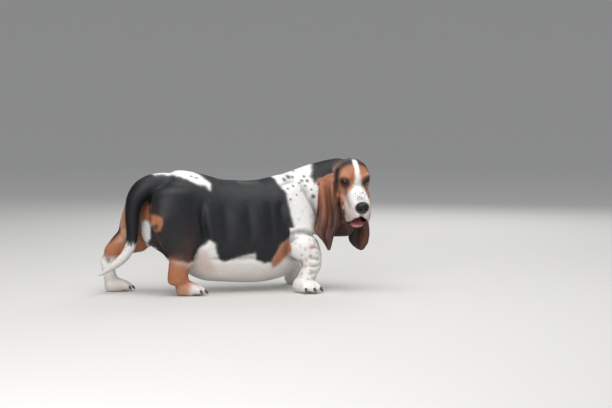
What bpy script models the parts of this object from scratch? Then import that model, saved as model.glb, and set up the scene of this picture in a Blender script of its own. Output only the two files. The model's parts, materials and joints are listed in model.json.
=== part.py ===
"""A basset hound at life size, standing in a slow walk with its head turned to its right.

The whole animal is lofted from a few named stations, melted into one closed skin, pressed and
folded like clay, and then parted with thin cuts into the pieces that a person would name.
Metres, +X forward, +Y to the animal's left, +Z up. The floor is at Z = 0 until the last step.
"""

import math

import bmesh
import bpy
import numpy as np
from mathutils import Matrix, Vector

MM = 0.001
GAP = 0.3 * MM
VOXEL = 3.0 * MM
TRIANGLES = 6600

# The head's own frame: the point between the eyes, and how the head is turned there.
EYE_LINE = Vector((0.372, -0.130, 0.339))
HEAD_TURN = math.radians(-98.5)
HEAD_PITCH = math.radians(24.0)
HEAD_ROLL = math.radians(2.5)
SWING = 0.08
SWING_FROM = -30.0

EYE_RADIUS = 12.5 * MM
EYE_PLACE = (-9 * MM, 32 * MM, 0 * MM)
EYE_GAZE = (0.93, 0.34, -0.10)
EAR_THICK = 5.5 * MM

# A station is x, y, z of the widest place, then the reach up, down, right, left, and squareness.
TORSO = [
    (-0.270, 0.000, 0.262, 0.082, 0.066, 0.066, 0.066, 2.0),
    (-0.255, 0.000, 0.256, 0.104, 0.088, 0.086, 0.086, 2.0),
    (-0.225, 0.000, 0.245, 0.133, 0.105, 0.098, 0.098, 2.0),
    (-0.170, 0.000, 0.232, 0.149, 0.130, 0.104, 0.104, 2.1),
    (-0.120, 0.000, 0.215, 0.154, 0.150, 0.107, 0.107, 2.2),
    (-0.060, 0.000, 0.200, 0.152, 0.168, 0.112, 0.112, 2.3),
    (0.000, 0.000, 0.190, 0.156, 0.164, 0.119, 0.119, 2.3),
    (0.060, 0.000, 0.190, 0.153, 0.168, 0.123, 0.123, 2.3),
    (0.115, 0.000, 0.195, 0.151, 0.168, 0.119, 0.119, 2.2),
    (0.160, 0.000, 0.205, 0.150, 0.160, 0.110, 0.110, 2.1),
    (0.205, 0.000, 0.215, 0.146, 0.140, 0.096, 0.096, 2.0),
    (0.245, 0.000, 0.220, 0.110, 0.108, 0.078, 0.078, 2.0),
    (0.272, 0.000, 0.212, 0.066, 0.060, 0.050, 0.050, 2.0),
]

NECK = [
    (0.130, 0.000, 0.246, 0.094, 0.106, 0.085, 0.085, 2.0),
    (0.205, -0.004, 0.268, 0.098, 0.112, 0.084, 0.086, 2.0),
    (0.255, -0.016, 0.290, 0.095, 0.108, 0.078, 0.080, 2.0),
    (0.300, -0.036, 0.314, 0.089, 0.096, 0.068, 0.072, 2.0),
    (0.338, -0.062, 0.336, 0.076, 0.080, 0.058, 0.062, 2.0),
    (0.362, -0.092, 0.345, 0.062, 0.066, 0.050, 0.054, 2.0),
]
DEWLAP = [
    (0.240, -0.004, 0.225, 0.055, 0.050, 0.045, 0.045, 2.0),
    (0.290, -0.026, 0.220, 0.055, 0.056, 0.036, 0.036, 2.0),
    (0.330, -0.058, 0.224, 0.055, 0.064, 0.030, 0.030, 2.0),
    (0.352, -0.090, 0.236, 0.055, 0.070, 0.028, 0.028, 2.0),
    (0.360, -0.122, 0.246, 0.045, 0.050, 0.028, 0.028, 2.0),
]

TAIL = [
    (-0.150, 0.000, 0.318, 0.044, 0.044, 0.044, 0.044, 2.0),
    (-0.210, 0.000, 0.333, 0.040, 0.040, 0.040, 0.040, 2.0),
    (-0.256, 0.000, 0.331, 0.037, 0.037, 0.037, 0.037, 2.0),
    (-0.286, 0.000, 0.316, 0.034, 0.034, 0.033, 0.033, 2.0),
    (-0.305, 0.001, 0.292, 0.029, 0.029, 0.029, 0.029, 2.0),
    (-0.312, 0.002, 0.262, 0.026, 0.024, 0.026, 0.026, 2.0),
    (-0.314, 0.003, 0.222, 0.023, 0.022, 0.023, 0.023, 2.0),
    (-0.314, 0.004, 0.182, 0.020, 0.019, 0.020, 0.020, 2.0),
    (-0.319, 0.005, 0.150, 0.018, 0.018, 0.018, 0.018, 2.0),
    (-0.334, 0.006, 0.122, 0.0165, 0.017, 0.017, 0.017, 2.0),
    (-0.362, 0.007, 0.095, 0.0145, 0.015, 0.015, 0.015, 2.0),
    (-0.392, 0.008, 0.075, 0.011, 0.011, 0.011, 0.011, 2.0),
    (-0.427, 0.009, 0.055, 0.004, 0.004, 0.004, 0.004, 2.0),
]

THIGH_RIGHT = [
    (-0.200, -0.050, 0.335, 0.060, 0.060, 0.044, 0.050, 2.0),
    (-0.198, -0.066, 0.270, 0.082, 0.078, 0.048, 0.055, 2.2),
    (-0.194, -0.078, 0.215, 0.080, 0.080, 0.044, 0.050, 2.2),
    (-0.188, -0.086, 0.165, 0.070, 0.066, 0.038, 0.042, 2.1),
    (-0.186, -0.092, 0.120, 0.048, 0.044, 0.032, 0.034, 2.0),
]
GASKIN_RIGHT = [
    (-0.182, -0.090, 0.145, 0.050, 0.050, 0.034, 0.036, 2.0),
    (-0.188, -0.096, 0.112, 0.042, 0.040, 0.031, 0.033, 2.0),
    (-0.197, -0.100, 0.085, 0.034, 0.033, 0.028, 0.029, 2.0),
    (-0.200, -0.102, 0.058, 0.033, 0.034, 0.026, 0.027, 2.0),
    (-0.198, -0.104, 0.030, 0.036, 0.036, 0.028, 0.028, 2.0),
]
THIGH_LEFT = [
    (-0.215, 0.050, 0.330, 0.060, 0.060, 0.050, 0.044, 2.0),
    (-0.230, 0.066, 0.270, 0.080, 0.082, 0.055, 0.048, 2.2),
    (-0.246, 0.078, 0.215, 0.084, 0.086, 0.050, 0.044, 2.2),
    (-0.252, 0.086, 0.165, 0.072, 0.080, 0.042, 0.038, 2.1),
    (-0.252, 0.090, 0.135, 0.045, 0.055, 0.034, 0.032, 2.0),
]
GASKIN_LEFT = [
    (-0.240, 0.088, 0.170, 0.045, 0.048, 0.034, 0.034, 2.0),
    (-0.300, 0.088, 0.158, 0.046, 0.044, 0.033, 0.033, 2.0),
    (-0.345, 0.087, 0.130, 0.034, 0.034, 0.028, 0.028, 2.0),
    (-0.374, 0.086, 0.104, 0.024, 0.024, 0.023, 0.023, 2.0),
]
METATARSUS_LEFT = [
    (-0.374, 0.086, 0.116, 0.018, 0.018, 0.019, 0.019, 2.0),
    (-0.372, 0.086, 0.090, 0.023, 0.024, 0.022, 0.022, 2.0),
    (-0.366, 0.086, 0.058, 0.021, 0.020, 0.020, 0.020, 2.0),
    (-0.360, 0.087, 0.028, 0.024, 0.023, 0.024, 0.024, 2.0),
]

SHOULDER_RIGHT = [
    (0.150, -0.055, 0.325, 0.050, 0.050, 0.040, 0.040, 2.0),
    (0.178, -0.072, 0.270, 0.060, 0.060, 0.040, 0.045, 2.0),
    (0.195, -0.086, 0.215, 0.060, 0.060, 0.040, 0.045, 2.0),
    (0.204, -0.100, 0.160, 0.050, 0.046, 0.038, 0.042, 2.0),
]
FOREARM_RIGHT = [
    (0.198, -0.098, 0.168, 0.044, 0.044, 0.040, 0.044, 2.0),
    (0.206, -0.112, 0.140, 0.050, 0.052, 0.040, 0.042, 2.0),
    (0.220, -0.122, 0.112, 0.041, 0.040, 0.034, 0.036, 2.0),
    (0.222, -0.130, 0.084, 0.034, 0.032, 0.030, 0.030, 2.0),
    (0.210, -0.136, 0.056, 0.028, 0.028, 0.028, 0.026, 2.0),
    (0.194, -0.142, 0.030, 0.030, 0.030, 0.030, 0.028, 2.0),
]
SHOULDER_LEFT = [
    (0.150, 0.055, 0.325, 0.050, 0.050, 0.040, 0.040, 2.0),
    (0.180, 0.072, 0.270, 0.060, 0.060, 0.045, 0.040, 2.0),
    (0.198, 0.086, 0.215, 0.060, 0.060, 0.045, 0.040, 2.0),
    (0.206, 0.098, 0.160, 0.050, 0.048, 0.042, 0.038, 2.0),
]
FOREARM_LEFT = [
    (0.202, 0.094, 0.168, 0.044, 0.046, 0.042, 0.040, 2.0),
    (0.212, 0.104, 0.140, 0.046, 0.048, 0.040, 0.038, 2.0),
    (0.228, 0.108, 0.112, 0.040, 0.038, 0.034, 0.033, 2.0),
    (0.240, 0.110, 0.084, 0.034, 0.032, 0.030, 0.030, 2.0),
    (0.247, 0.111, 0.056, 0.027, 0.027, 0.026, 0.028, 2.0),
    (0.252, 0.112, 0.030, 0.029, 0.029, 0.028, 0.030, 2.0),
]

# The head's stations are in millimetres from the point between the eyes: ahead, left, up.
CRANIUM = [
    (-120, 0, 4, 16, 20, 20, 20, 2.0),
    (-100, 0, 0, 36, 42, 40, 40, 2.0),
    (-68, 0, -5, 49, 62, 51, 51, 2.1),
    (-38, 0, -8, 47, 68, 53, 53, 2.1),
    (-16, 0, -14, 38, 62, 48, 48, 2.1),
    (3, 0, -20, 27, 44, 41, 41, 2.1),
]
MUZZLE = [
    (-30, 0, -32, 26, 44, 30, 30, 2.0),
    (10, 0, -32, 24, 44, 31, 31, 2.2),
    (40, 0, -38, 24, 42, 33, 33, 2.3),
    (72, 0, -40, 25, 40, 33, 33, 2.3),
    (98, 0, -38, 23, 34, 29, 29, 2.2),
    (112, 0, -37, 17, 24, 21, 21, 2.0),
]
FLEW = [
    (112, -4, -58, 8, 8, 8, 8, 2.0),
    (104, -14, -64, 16, 12, 11, 10, 2.0),
    (90, -23, -70, 24, 22, 12, 11, 2.0),
    (72, -28, -76, 28, 32, 13, 12, 2.0),
    (52, -30, -78, 30, 36, 14, 13, 2.0),
    (30, -31, -76, 30, 34, 15, 13, 2.0),
    (6, -33, -70, 30, 30, 16, 13, 2.0),
    (-20, -36, -58, 26, 26, 17, 14, 2.0),
    (-44, -34, -44, 24, 24, 18, 14, 2.0),
]
JAW = [
    (-40, 0, -66, 20, 24, 34, 34, 2.0),
    (0, 0, -90, 20, 22, 28, 28, 2.0),
    (40, 0, -108, 10, 14, 25, 25, 2.0),
    (70, 0, -114, 7, 9, 24, 24, 2.0),
    (88, 0, -114, 5, 7, 17, 17, 2.0),
]
BROW = [
    (0, -13, 8, 6, 6, 6, 6, 2.0),
    (-4, -24, 15, 8, 8, 8, 8, 2.0),
    (-10, -36, 14, 8, 8, 8, 8, 2.0),
    (-20, -46, 6, 7, 7, 7, 7, 2.0),
]
MOUTH = [
    (8, 0, -98, 6, 3, 14, 14, 1.4),
    (40, 0, -104, 20, 4, 24, 24, 1.4),
    (70, 0, -108, 34, 4, 30, 30, 1.4),
    (98, 0, -108, 41, 6, 34, 34, 1.4),
    (130, 0, -106, 44, 8, 40, 40, 1.4),
]
TONGUE = [
    (20, -2, -98, 4, 5, 13, 13, 2.0),
    (50, -2, -104, 5, 5, 18, 18, 2.0),
    (78, -2, -107, 5, 5, 20, 20, 2.0),
    (92, -2, -108, 4, 4, 14, 14, 2.0),
]
NOSE = [
    (92, 0, -33, 9, 10, 11, 11, 2.0),
    (102, 0, -33, 14, 16, 18, 18, 2.2),
    (112, 0, -34, 14, 17, 19, 19, 2.2),
    (119, 0, -37, 10, 13, 15, 15, 2.0),
]
NOSTRIL = [
    (128, -8, -36, 4, 4, 4.5, 4.5, 2.0),
    (118, -9, -36, 4, 4, 4.5, 4.5, 2.0),
    (109, -8, -35, 2, 2, 2, 2, 2.0),
]

# Paws: the point under the ankle, the way the toes point in degrees, and the size.
PAWS = {
    "hind_right": ((-0.182, -0.105, 0.0), -8.0, 0.95),
    "hind_left": ((-0.356, 0.087, 0.0), 6.0, 0.92),
    "fore_right": ((0.188, -0.142, 0.0), -64.0, 1.0),
    "fore_left": ((0.250, 0.112, 0.0), 34.0, 1.0),
}
TOES = ((-30, 0.056), (-10, 0.068), (10, 0.068), (30, 0.056))
TOE_SPREAD = 1.15
PALM = [
    (-0.028, 0, 0.020, 0.020, 0.024, 0.022, 0.022, 2.0),
    (-0.004, 0, 0.022, 0.028, 0.026, 0.029, 0.029, 2.0),
    (0.026, 0, 0.020, 0.025, 0.024, 0.033, 0.033, 2.0),
    (0.044, 0, 0.015, 0.015, 0.019, 0.027, 0.027, 2.0),
]
# Along a toe's or a claw's reach: the share of it, the height of the middle and the radius.
TOE_ARCH = ((0.20, 0.026, 0.0125), (0.58, 0.028, 0.0130), (0.86, 0.016, 0.0125), (1.0, 0.010, 0.0100))
CLAW_ARC = ((0.80, 0.0185, 0.0042), (0.98, 0.0165, 0.0044), (1.07, 0.0120, 0.0034), (1.13, 0.0055, 0.0012))

COLOURS = {
    "white": (0.80, 0.77, 0.72, 1.0),
    "black": (0.02, 0.021, 0.025, 1.0),
    "tan": (0.42, 0.17, 0.07, 1.0),
    "nose": (0.02, 0.02, 0.024, 1.0),
    "tongue": (0.62, 0.24, 0.26, 1.0),
    "eye": (0.05, 0.02, 0.012, 1.0),
    "horn": (0.10, 0.08, 0.07, 1.0),
}


def clear_scene():
    for item in list(bpy.data.objects):
        bpy.data.objects.remove(item)


def spline(rows, count):
    """Rows read as one smooth curve through all of them, at even steps of the path's length."""
    rows = np.array(rows, float)
    step = np.linalg.norm(np.diff(rows[:, :3], axis=0), axis=1)
    at = np.concatenate([[0.0], np.cumsum(step)])
    slope = np.gradient(rows, at, axis=0)
    wanted = np.linspace(0.0, at[-1], count)
    left = np.clip(np.searchsorted(at, wanted, side="right") - 1, 0, len(at) - 2)
    width = (at[left + 1] - at[left])[:, None]
    t = (wanted - at[left])[:, None] / width
    return (
        (2 * t**3 - 3 * t**2 + 1) * rows[left]
        + (t**3 - 2 * t**2 + t) * width * slope[left]
        + (-2 * t**3 + 3 * t**2) * rows[left + 1]
        + (t**3 - t**2) * width * slope[left + 1]
    )


def tube_points(rows, up, rings, sides, dome, caps):
    """Sections carried along the stations, with both ends domed over a share of their radius."""
    line = spline(rows, 4 * rings)
    along = np.linalg.norm(np.diff(line[:, :3], axis=0), axis=1)
    along = np.concatenate([[0.0], np.cumsum(along)])
    reach = dome * np.array([line[0, 3:7].mean(), line[-1, 3:7].mean()])
    turn = np.linspace(0.0, np.pi / 2, caps + 1)[:-1]
    middle = np.linspace(reach[0], along[-1] - reach[1], rings)
    start = reach[0] * (1 - np.cos(turn))
    end = along[-1] - reach[1] * (1 - np.cos(turn))
    where = np.concatenate([start, middle, end[::-1]])
    shrink = np.concatenate([np.sin(turn), np.ones(rings), np.sin(turn[::-1])])
    shrink[[0, -1]] = 0.02
    row = np.stack([np.interp(where, along, line[:, k]) for k in range(8)], axis=1)
    tangent = np.gradient(row[:, :3], where, axis=0)
    tangent /= np.linalg.norm(tangent, axis=1)[:, None]
    up = np.array(up, float)
    top = up - (tangent @ up)[:, None] * tangent
    top /= np.linalg.norm(top, axis=1)[:, None]
    right = np.cross(tangent, top)
    phi = np.linspace(0.0, 2 * np.pi, sides, endpoint=False)
    power = 2.0 / row[:, 7][:, None]
    c = np.sign(np.cos(phi)) * np.abs(np.cos(phi)) ** power
    s = np.sign(np.sin(phi)) * np.abs(np.sin(phi)) ** power
    rise = np.where(s >= 0, row[:, 3][:, None], row[:, 4][:, None]) * s * shrink[:, None]
    side = np.where(c >= 0, row[:, 5][:, None], row[:, 6][:, None]) * c * shrink[:, None]
    return row[:, None, :3] + rise[..., None] * top[:, None] + side[..., None] * right[:, None]


def face_outwards(mesh):
    """Every face of a closed mesh made to point out of it."""
    body = bmesh.new()
    body.from_mesh(mesh)
    bmesh.ops.recalc_face_normals(body, faces=body.faces)
    if body.calc_volume(signed=True) < 0:
        bmesh.ops.reverse_faces(body, faces=body.faces)
    body.to_mesh(mesh)
    body.free()


def add(name, mesh):
    item = bpy.data.objects.new(name, mesh)
    bpy.context.scene.collection.objects.link(item)
    return item


def rings_object(name, grid):
    """A closed object from rings of points, with one flat face over each end."""
    rings, sides, _ = grid.shape
    index = np.arange(rings * sides).reshape(rings, sides)
    a, b = index[:-1], index[1:]
    quads = np.stack([a, np.roll(a, -1, 1), np.roll(b, -1, 1), b], axis=-1).reshape(-1, 4)
    faces = [tuple(q) for q in quads.tolist()]
    faces += [tuple(index[0][::-1].tolist()), tuple(index[-1].tolist())]
    mesh = bpy.data.meshes.new(name)
    mesh.from_pydata(grid.reshape(-1, 3).tolist(), [], faces)
    face_outwards(mesh)
    return add(name, mesh)


def grown(rows, by):
    """The stations of the same form made larger all round, and longer at both ends."""
    rows = np.array(rows, float)
    rows[:, 3:7] += by
    for end, inner in ((0, 1), (-1, -2)):
        away = rows[end, :3] - rows[inner, :3]
        rows[end, :3] += by * away / np.linalg.norm(away)
    return [tuple(row) for row in rows.tolist()]


def tube(name, rows, up=(0, 0, 1), rings=20, sides=24, dome=0.6, frame=None, grow=0.0, caps=5):
    rows = grown(rows, grow) if grow else rows
    item = rings_object(name, tube_points(rows, up, rings, sides, dome, caps))
    if frame is not None:
        item.data.transform(frame)
    return item


def in_metres(rows):
    return [tuple(v * MM for v in r[:7]) + (r[7],) for r in rows]


def mirrored(rows):
    return [(r[0], -r[1], r[2], r[3], r[4], r[6], r[5], r[7]) for r in rows]


def hung(rows):
    """What hangs below the muzzle's middle swings to the animal's right, as the head leans."""
    return [(r[0], r[1] + SWING * min(r[2] - SWING_FROM, 0.0), *r[2:]) for r in rows]


def head_frame():
    """The head's own axes carried to the world: ahead along the muzzle, left, up."""
    turn = Matrix.Rotation(HEAD_TURN, 4, "Z")
    pitch = Matrix.Rotation(HEAD_PITCH, 4, "Y")
    roll = Matrix.Rotation(HEAD_ROLL, 4, "X")
    return Matrix.Translation(EYE_LINE) @ turn @ pitch @ roll


def head_tube(name, rows, rings=24, sides=24, dome=0.5, grow=0.0, caps=5):
    return tube(name, in_metres(hung(rows)), (0, 0, 1), rings, sides, dome, head_frame(), grow, caps)


def paw_frame(place, turn):
    return Matrix.Translation(place) @ Matrix.Rotation(math.radians(turn), 4, "Z")


def scaled(rows, size):
    return [tuple(v * size for v in r[:7]) + (r[7],) for r in rows]


def ray_rows(arc, spread, reach):
    """A toe's or a claw's stations: shares of its reach along a ray from the palm, then height, radius."""
    a = math.radians(spread)
    away, aside = reach * math.cos(a), reach * math.sin(a) * TOE_SPREAD
    return [(away * k, aside * k, z, r, r, r, r, 2.0) for k, z, r in arc]


def eye_frame(side):
    """An eye's own axes: x along the gaze, y outwards along the lids, z up."""
    gaze = Vector((EYE_GAZE[0], side * EYE_GAZE[1], EYE_GAZE[2])).normalized()
    out = Vector((0, side, 0))
    out = (out - out.dot(gaze) * gaze).normalized()
    up = gaze.cross(out) * side
    turn = Matrix((gaze, out, up)).transposed().to_4x4()
    place = Vector((EYE_PLACE[0], side * EYE_PLACE[1], EYE_PLACE[2]))
    return head_frame() @ Matrix.Translation(place) @ turn


def lid_ring(name, side, radius=2.6 * MM):
    """The rim of both lids: a closed roll around the opening, hanging low below the eye."""
    t = np.linspace(0.0, 2 * np.pi, 21)[:-1]
    rise = np.sin(t)
    angle = np.radians(60 - 20 * np.maximum(rise, 0) + 4 * np.maximum(-rise, 0))
    reach = EYE_RADIUS + 0.8 * MM
    path = reach * np.stack([np.cos(angle), np.sin(angle) * np.cos(t), np.sin(angle) * rise], 1)
    away = path - np.array([0.6 * reach, 0.0, 0.0])
    away /= np.linalg.norm(away, axis=1)[:, None]
    along = np.roll(path, -1, 0) - np.roll(path, 1, 0)
    along /= np.linalg.norm(along, axis=1)[:, None]
    across = np.cross(along, away)
    phi = np.linspace(0.0, 2 * np.pi, 8)[:-1]
    ring = np.cos(phi)[:, None] * away[:, None] + np.sin(phi)[:, None] * across[:, None]
    grid = path[:, None] + radius * ring
    index = np.arange(grid.shape[0] * grid.shape[1]).reshape(grid.shape[:2])
    ahead = np.roll(index, -1, 0)
    quads = np.stack([index, np.roll(index, -1, 1), np.roll(ahead, -1, 1), ahead], -1)
    mesh = bpy.data.meshes.new(name)
    mesh.from_pydata(grid.reshape(-1, 3).tolist(), [], quads.reshape(-1, 4).tolist())
    face_outwards(mesh)
    mesh.transform(eye_frame(side))
    return add(name, mesh)


def flesh_pieces():
    """Every loft that melts into the one skin."""
    forward = (1, 0, 0)
    pieces = [
        tube("torso", TORSO, rings=40, sides=40, dome=0.5),
        tube("neck", NECK, rings=24, sides=32, dome=0.4),
        tube("dewlap", DEWLAP, rings=20, sides=20),
        tube("tail", TAIL, (-1, 0, 0.6), rings=40, sides=16),
        tube("gaskin_left", GASKIN_LEFT),
        head_tube("cranium", CRANIUM, 30, 32),
        head_tube("muzzle", MUZZLE, 30, 32),
        head_tube("jaw", JAW),
    ]
    upright = {
        "thigh_right": THIGH_RIGHT, "gaskin_right": GASKIN_RIGHT, "thigh_left": THIGH_LEFT,
        "metatarsus_left": METATARSUS_LEFT, "shoulder_right": SHOULDER_RIGHT,
        "forearm_right": FOREARM_RIGHT, "shoulder_left": SHOULDER_LEFT,
        "forearm_left": FOREARM_LEFT,
    }
    pieces += [tube(name, rows, forward) for name, rows in upright.items()]
    for name, rows in (("flew", FLEW), ("brow", BROW)):
        pieces.append(head_tube(name + "_right", rows))
        pieces.append(head_tube(name + "_left", mirrored(rows)))
    for name, (place, turn, size) in PAWS.items():
        frame = paw_frame(place, turn)
        pieces.append(tube("palm_" + name, scaled(PALM, size), rings=12, sides=20, frame=frame))
        for number, (spread, reach) in enumerate(TOES):
            rows = scaled(ray_rows(TOE_ARCH, spread, reach), size)
            pieces.append(tube(f"toe_{name}_{number}", rows, rings=12, sides=14, frame=frame))
    return pieces


def joined(name, pieces):
    """All the pieces' faces in one mesh, and the pieces taken away."""
    body = bmesh.new()
    for piece in pieces:
        body.from_mesh(piece.data)
        bpy.data.objects.remove(piece)
    mesh = bpy.data.meshes.new(name)
    body.to_mesh(mesh)
    body.free()
    return add(name, mesh)


def apply_modifiers(item):
    graph = bpy.context.evaluated_depsgraph_get()
    mesh = bpy.data.meshes.new_from_object(item.evaluated_get(graph))
    item.modifiers.clear()
    item.data = mesh


def melt(item, voxel):
    remesh = item.modifiers.new("melt", "REMESH")
    remesh.mode = "VOXEL"
    remesh.voxel_size = voxel
    apply_modifiers(item)


def points_of(mesh):
    points = np.empty(len(mesh.vertices) * 3)
    mesh.vertices.foreach_get("co", points)
    return points.reshape(-1, 3)


def edges_of(mesh):
    edges = np.empty(len(mesh.edges) * 2, np.int64)
    mesh.edges.foreach_get("vertices", edges)
    return edges.reshape(-1, 2)


def smoothed(points, edges, weight, rounds):
    """Each point drawn to the mean of its neighbours, by its own weight, again and again."""
    a, b = edges.T
    size = len(points)
    count = np.bincount(np.concatenate([a, b]), minlength=size)[:, None]
    for _ in range(rounds):
        total = np.zeros_like(points)
        for k in range(3):
            total[:, k] = np.bincount(a, points[b, k], size) + np.bincount(b, points[a, k], size)
        points = points + weight[:, None] * (total / count - points)
    return points


def cut(item, cutter, operation="DIFFERENCE", solver="EXACT"):
    boolean = item.modifiers.new("cut", "BOOLEAN")
    boolean.operation = operation
    boolean.solver = solver
    boolean.object = cutter
    apply_modifiers(item)
    keep_largest(item)


def keep_largest(item):
    """Only the largest closed surface stays: scraps and sealed hollows go."""
    body = bmesh.new()
    body.from_mesh(item.data)
    body.verts.ensure_lookup_table()
    seen = set()
    shells = []
    for start in body.verts:
        if start in seen:
            continue
        shell, edge = {start}, [start]
        while edge:
            for link in edge.pop().link_edges:
                for other in link.verts:
                    if other not in shell:
                        shell.add(other)
                        edge.append(other)
        seen |= shell
        shells.append(shell)
    shells.sort(key=len, reverse=True)
    extra = [v for shell in shells[1:] for v in shell]
    bmesh.ops.delete(body, geom=extra, context="VERTS")
    body.to_mesh(item.data)
    body.free()


def copied(item, name):
    return add(name, item.data.copy())


def part_off(item, name, make_cutter):
    """What lies inside the cutter becomes a node of its own, with the usual gap to the rest."""
    inside = copied(item, name)
    tight, wide = make_cutter(0.0), make_cutter(GAP)
    cut(inside, tight, "INTERSECT")
    cut(item, wide)
    bpy.data.objects.remove(tight)
    bpy.data.objects.remove(wide)
    return inside


def box_cutter(centre, size, turn=None):
    """A box for parting, given by its middle, its full sizes and a turn."""
    def make(grow):
        mesh = bpy.data.meshes.new("box")
        body = bmesh.new()
        bmesh.ops.create_cube(body, size=1.0)
        body.to_mesh(mesh)
        body.free()
        mesh.transform(Matrix.Diagonal([s + 2 * grow for s in size]).to_4x4())
        if turn is not None:
            mesh.transform(turn.to_4x4())
        mesh.transform(Matrix.Translation(centre))
        return add("box", mesh)
    return make


def egg_cutter(centre, radii, turn=None):
    """An egg-shaped cutter, for a limb that grows out of the side of the body."""
    def make(grow):
        mesh = bpy.data.meshes.new("egg")
        body = bmesh.new()
        bmesh.ops.create_uvsphere(body, u_segments=20, v_segments=12, radius=1.0)
        body.to_mesh(mesh)
        body.free()
        mesh.transform(Matrix.Diagonal([r + 1.15 * grow for r in radii]).to_4x4())
        if turn is not None:
            mesh.transform(turn.to_4x4())
        mesh.transform(Matrix.Translation(centre))
        return add("egg", mesh)
    return make


def normals_of(mesh):
    normals = np.empty(len(mesh.vertices) * 3)
    mesh.vertices.foreach_get("normal", normals)
    return normals.reshape(-1, 3)


def on_skin(points, path, steps):
    """A path's points, read more densely and each moved to the nearest point of the skin."""
    path = np.array(path, float)
    at = np.linspace(0, len(path) - 1, steps)
    dense = np.stack([np.interp(at, np.arange(len(path)), path[:, k]) for k in range(3)], axis=1)
    return np.array([points[np.argmin(((points - p) ** 2).sum(axis=1))] for p in dense])


def distance_to(points, path):
    """Each point's distance to a chain of straight pieces, and how far along the chain it is."""
    best = np.full(len(points), np.inf)
    along = np.zeros(len(points))
    last = len(path) - 1
    for k in range(last):
        step = path[k + 1] - path[k]
        t = np.clip((points - path[k]) @ step / max(step @ step, 1e-12), 0, 1)
        away = np.linalg.norm(points - path[k] - t[:, None] * step, axis=1)
        near = away < best
        best[near] = away[near]
        along[near] = (k + t[near]) / last
    return best, along


def fold(points, normals, path, width, depth, roll=0.4):
    """A crease along the path, with a soft roll of skin on both sides, dying away at the ends."""
    away, along = distance_to(points, on_skin(points, path, 4 * len(path)))
    away = away / width
    fade = np.sin(np.pi * np.clip(along, 0.02, 0.98)) ** 0.7
    fade = fade * (along > 0) * (along < 1)
    groove = np.exp(-(away**2))
    banks = np.exp(-((away - 2.0) ** 2) / 1.4)
    return points + ((roll * banks - groove) * depth * fade)[:, None] * normals


def swell(points, normals, centre, radius, height):
    """A rounded swelling, or a hollow where the height is negative."""
    middle = on_skin(points, [centre, centre], 1)[0]
    away = np.linalg.norm(points - middle, axis=1) / radius
    return points + (height * np.exp(-(away**2)))[:, None] * normals


# Creases of the loose skin: the path over the body, its width and its depth in millimetres.
FOLDS = (
    ([(-0.118, -0.13, 0.300), (-0.122, -0.13, 0.230), (-0.112, -0.13, 0.170), (-0.140, -0.12, 0.112)], 10, 7),
    ([(-0.118, 0.13, 0.300), (-0.122, 0.13, 0.230), (-0.112, 0.13, 0.170), (-0.150, 0.12, 0.120)], 10, 6),
    ([(0.140, -0.12, 0.160), (0.165, -0.13, 0.182), (0.200, -0.13, 0.190), (0.235, -0.12, 0.178)], 7, 6),
    ([(0.150, 0.12, 0.160), (0.170, 0.13, 0.182), (0.205, 0.13, 0.190), (0.235, 0.12, 0.178)], 7, 6),
    ([(-0.115, -0.12, 0.098), (-0.05, -0.13, 0.103), (0.030, -0.13, 0.104), (0.130, -0.12, 0.094)], 9, 3.5),
    ([(-0.115, 0.12, 0.098), (-0.05, 0.13, 0.103), (0.030, 0.13, 0.104), (0.130, 0.12, 0.094)], 9, 3.5),
    ([(0.200, -0.16, 0.104), (0.225, -0.16, 0.106), (0.255, -0.15, 0.108)], 5, 4),
    ([(0.205, -0.16, 0.080), (0.225, -0.16, 0.084), (0.250, -0.15, 0.088)], 5, 4),
    ([(0.215, 0.15, 0.100), (0.240, 0.15, 0.102), (0.262, 0.14, 0.104)], 5, 4),
)
# Knobs and hollows: the middle, the radius and the height in millimetres.
SWELLINGS = (
    ((-0.252, -0.11, 0.232), 22, 7),
    ((-0.270, -0.09, 0.212), 12, -6),
    ((-0.375, 0.07, 0.100), 12, -5),
)


def pressed(points, mesh):
    """The creases and swellings pressed into the skin, one after another."""
    for path, width, depth in FOLDS:
        points = fold(points, normals_of(mesh), path, width * MM, depth * MM)
        mesh.vertices.foreach_set("co", points.ravel())
        mesh.update()
    for centre, radius, height in SWELLINGS:
        points = swell(points, normals_of(mesh), centre, radius * MM, height * MM)
        mesh.vertices.foreach_set("co", points.ravel())
        mesh.update()
    return points


def ear_sheet(name, rows, thick):
    """An ear's leather: rows of width from the root to the tip, waved in folds, with a wall."""
    across, down = 10, 18
    row = spline(rows, down)
    u = np.linspace(0, 1, across)[None, :, None]
    front, back = row[:, None, 0:3], row[:, None, 3:6]
    out = np.cross(back - front, np.array([0.0, 0.0, 1.0]))
    out /= np.linalg.norm(out, axis=2)[..., None]
    wave = row[:, None, 6:7] * np.cos(2 * np.pi * (row[:, None, 7:8] * u + 0.1))
    belly = row[:, None, 8:9] * np.sin(np.pi * u)
    sheet = front + (back - front) * u + out * (wave + belly)
    normal = np.cross(np.gradient(sheet, axis=0), np.gradient(sheet, axis=1))
    normal /= np.linalg.norm(normal, axis=2)[..., None]
    half = np.full((down, across, 1), thick / 2)
    half *= 1 + 0.9 * np.exp(-((np.arange(down) / 4.0) ** 2))[:, None, None]
    half[:, [0, -1]] *= 0.45
    half[-1] *= 0.45
    outer = sheet + normal * half
    inner = sheet - normal * half
    return rings_object(name, np.concatenate([outer, inner[:, ::-1]], axis=1))


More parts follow.
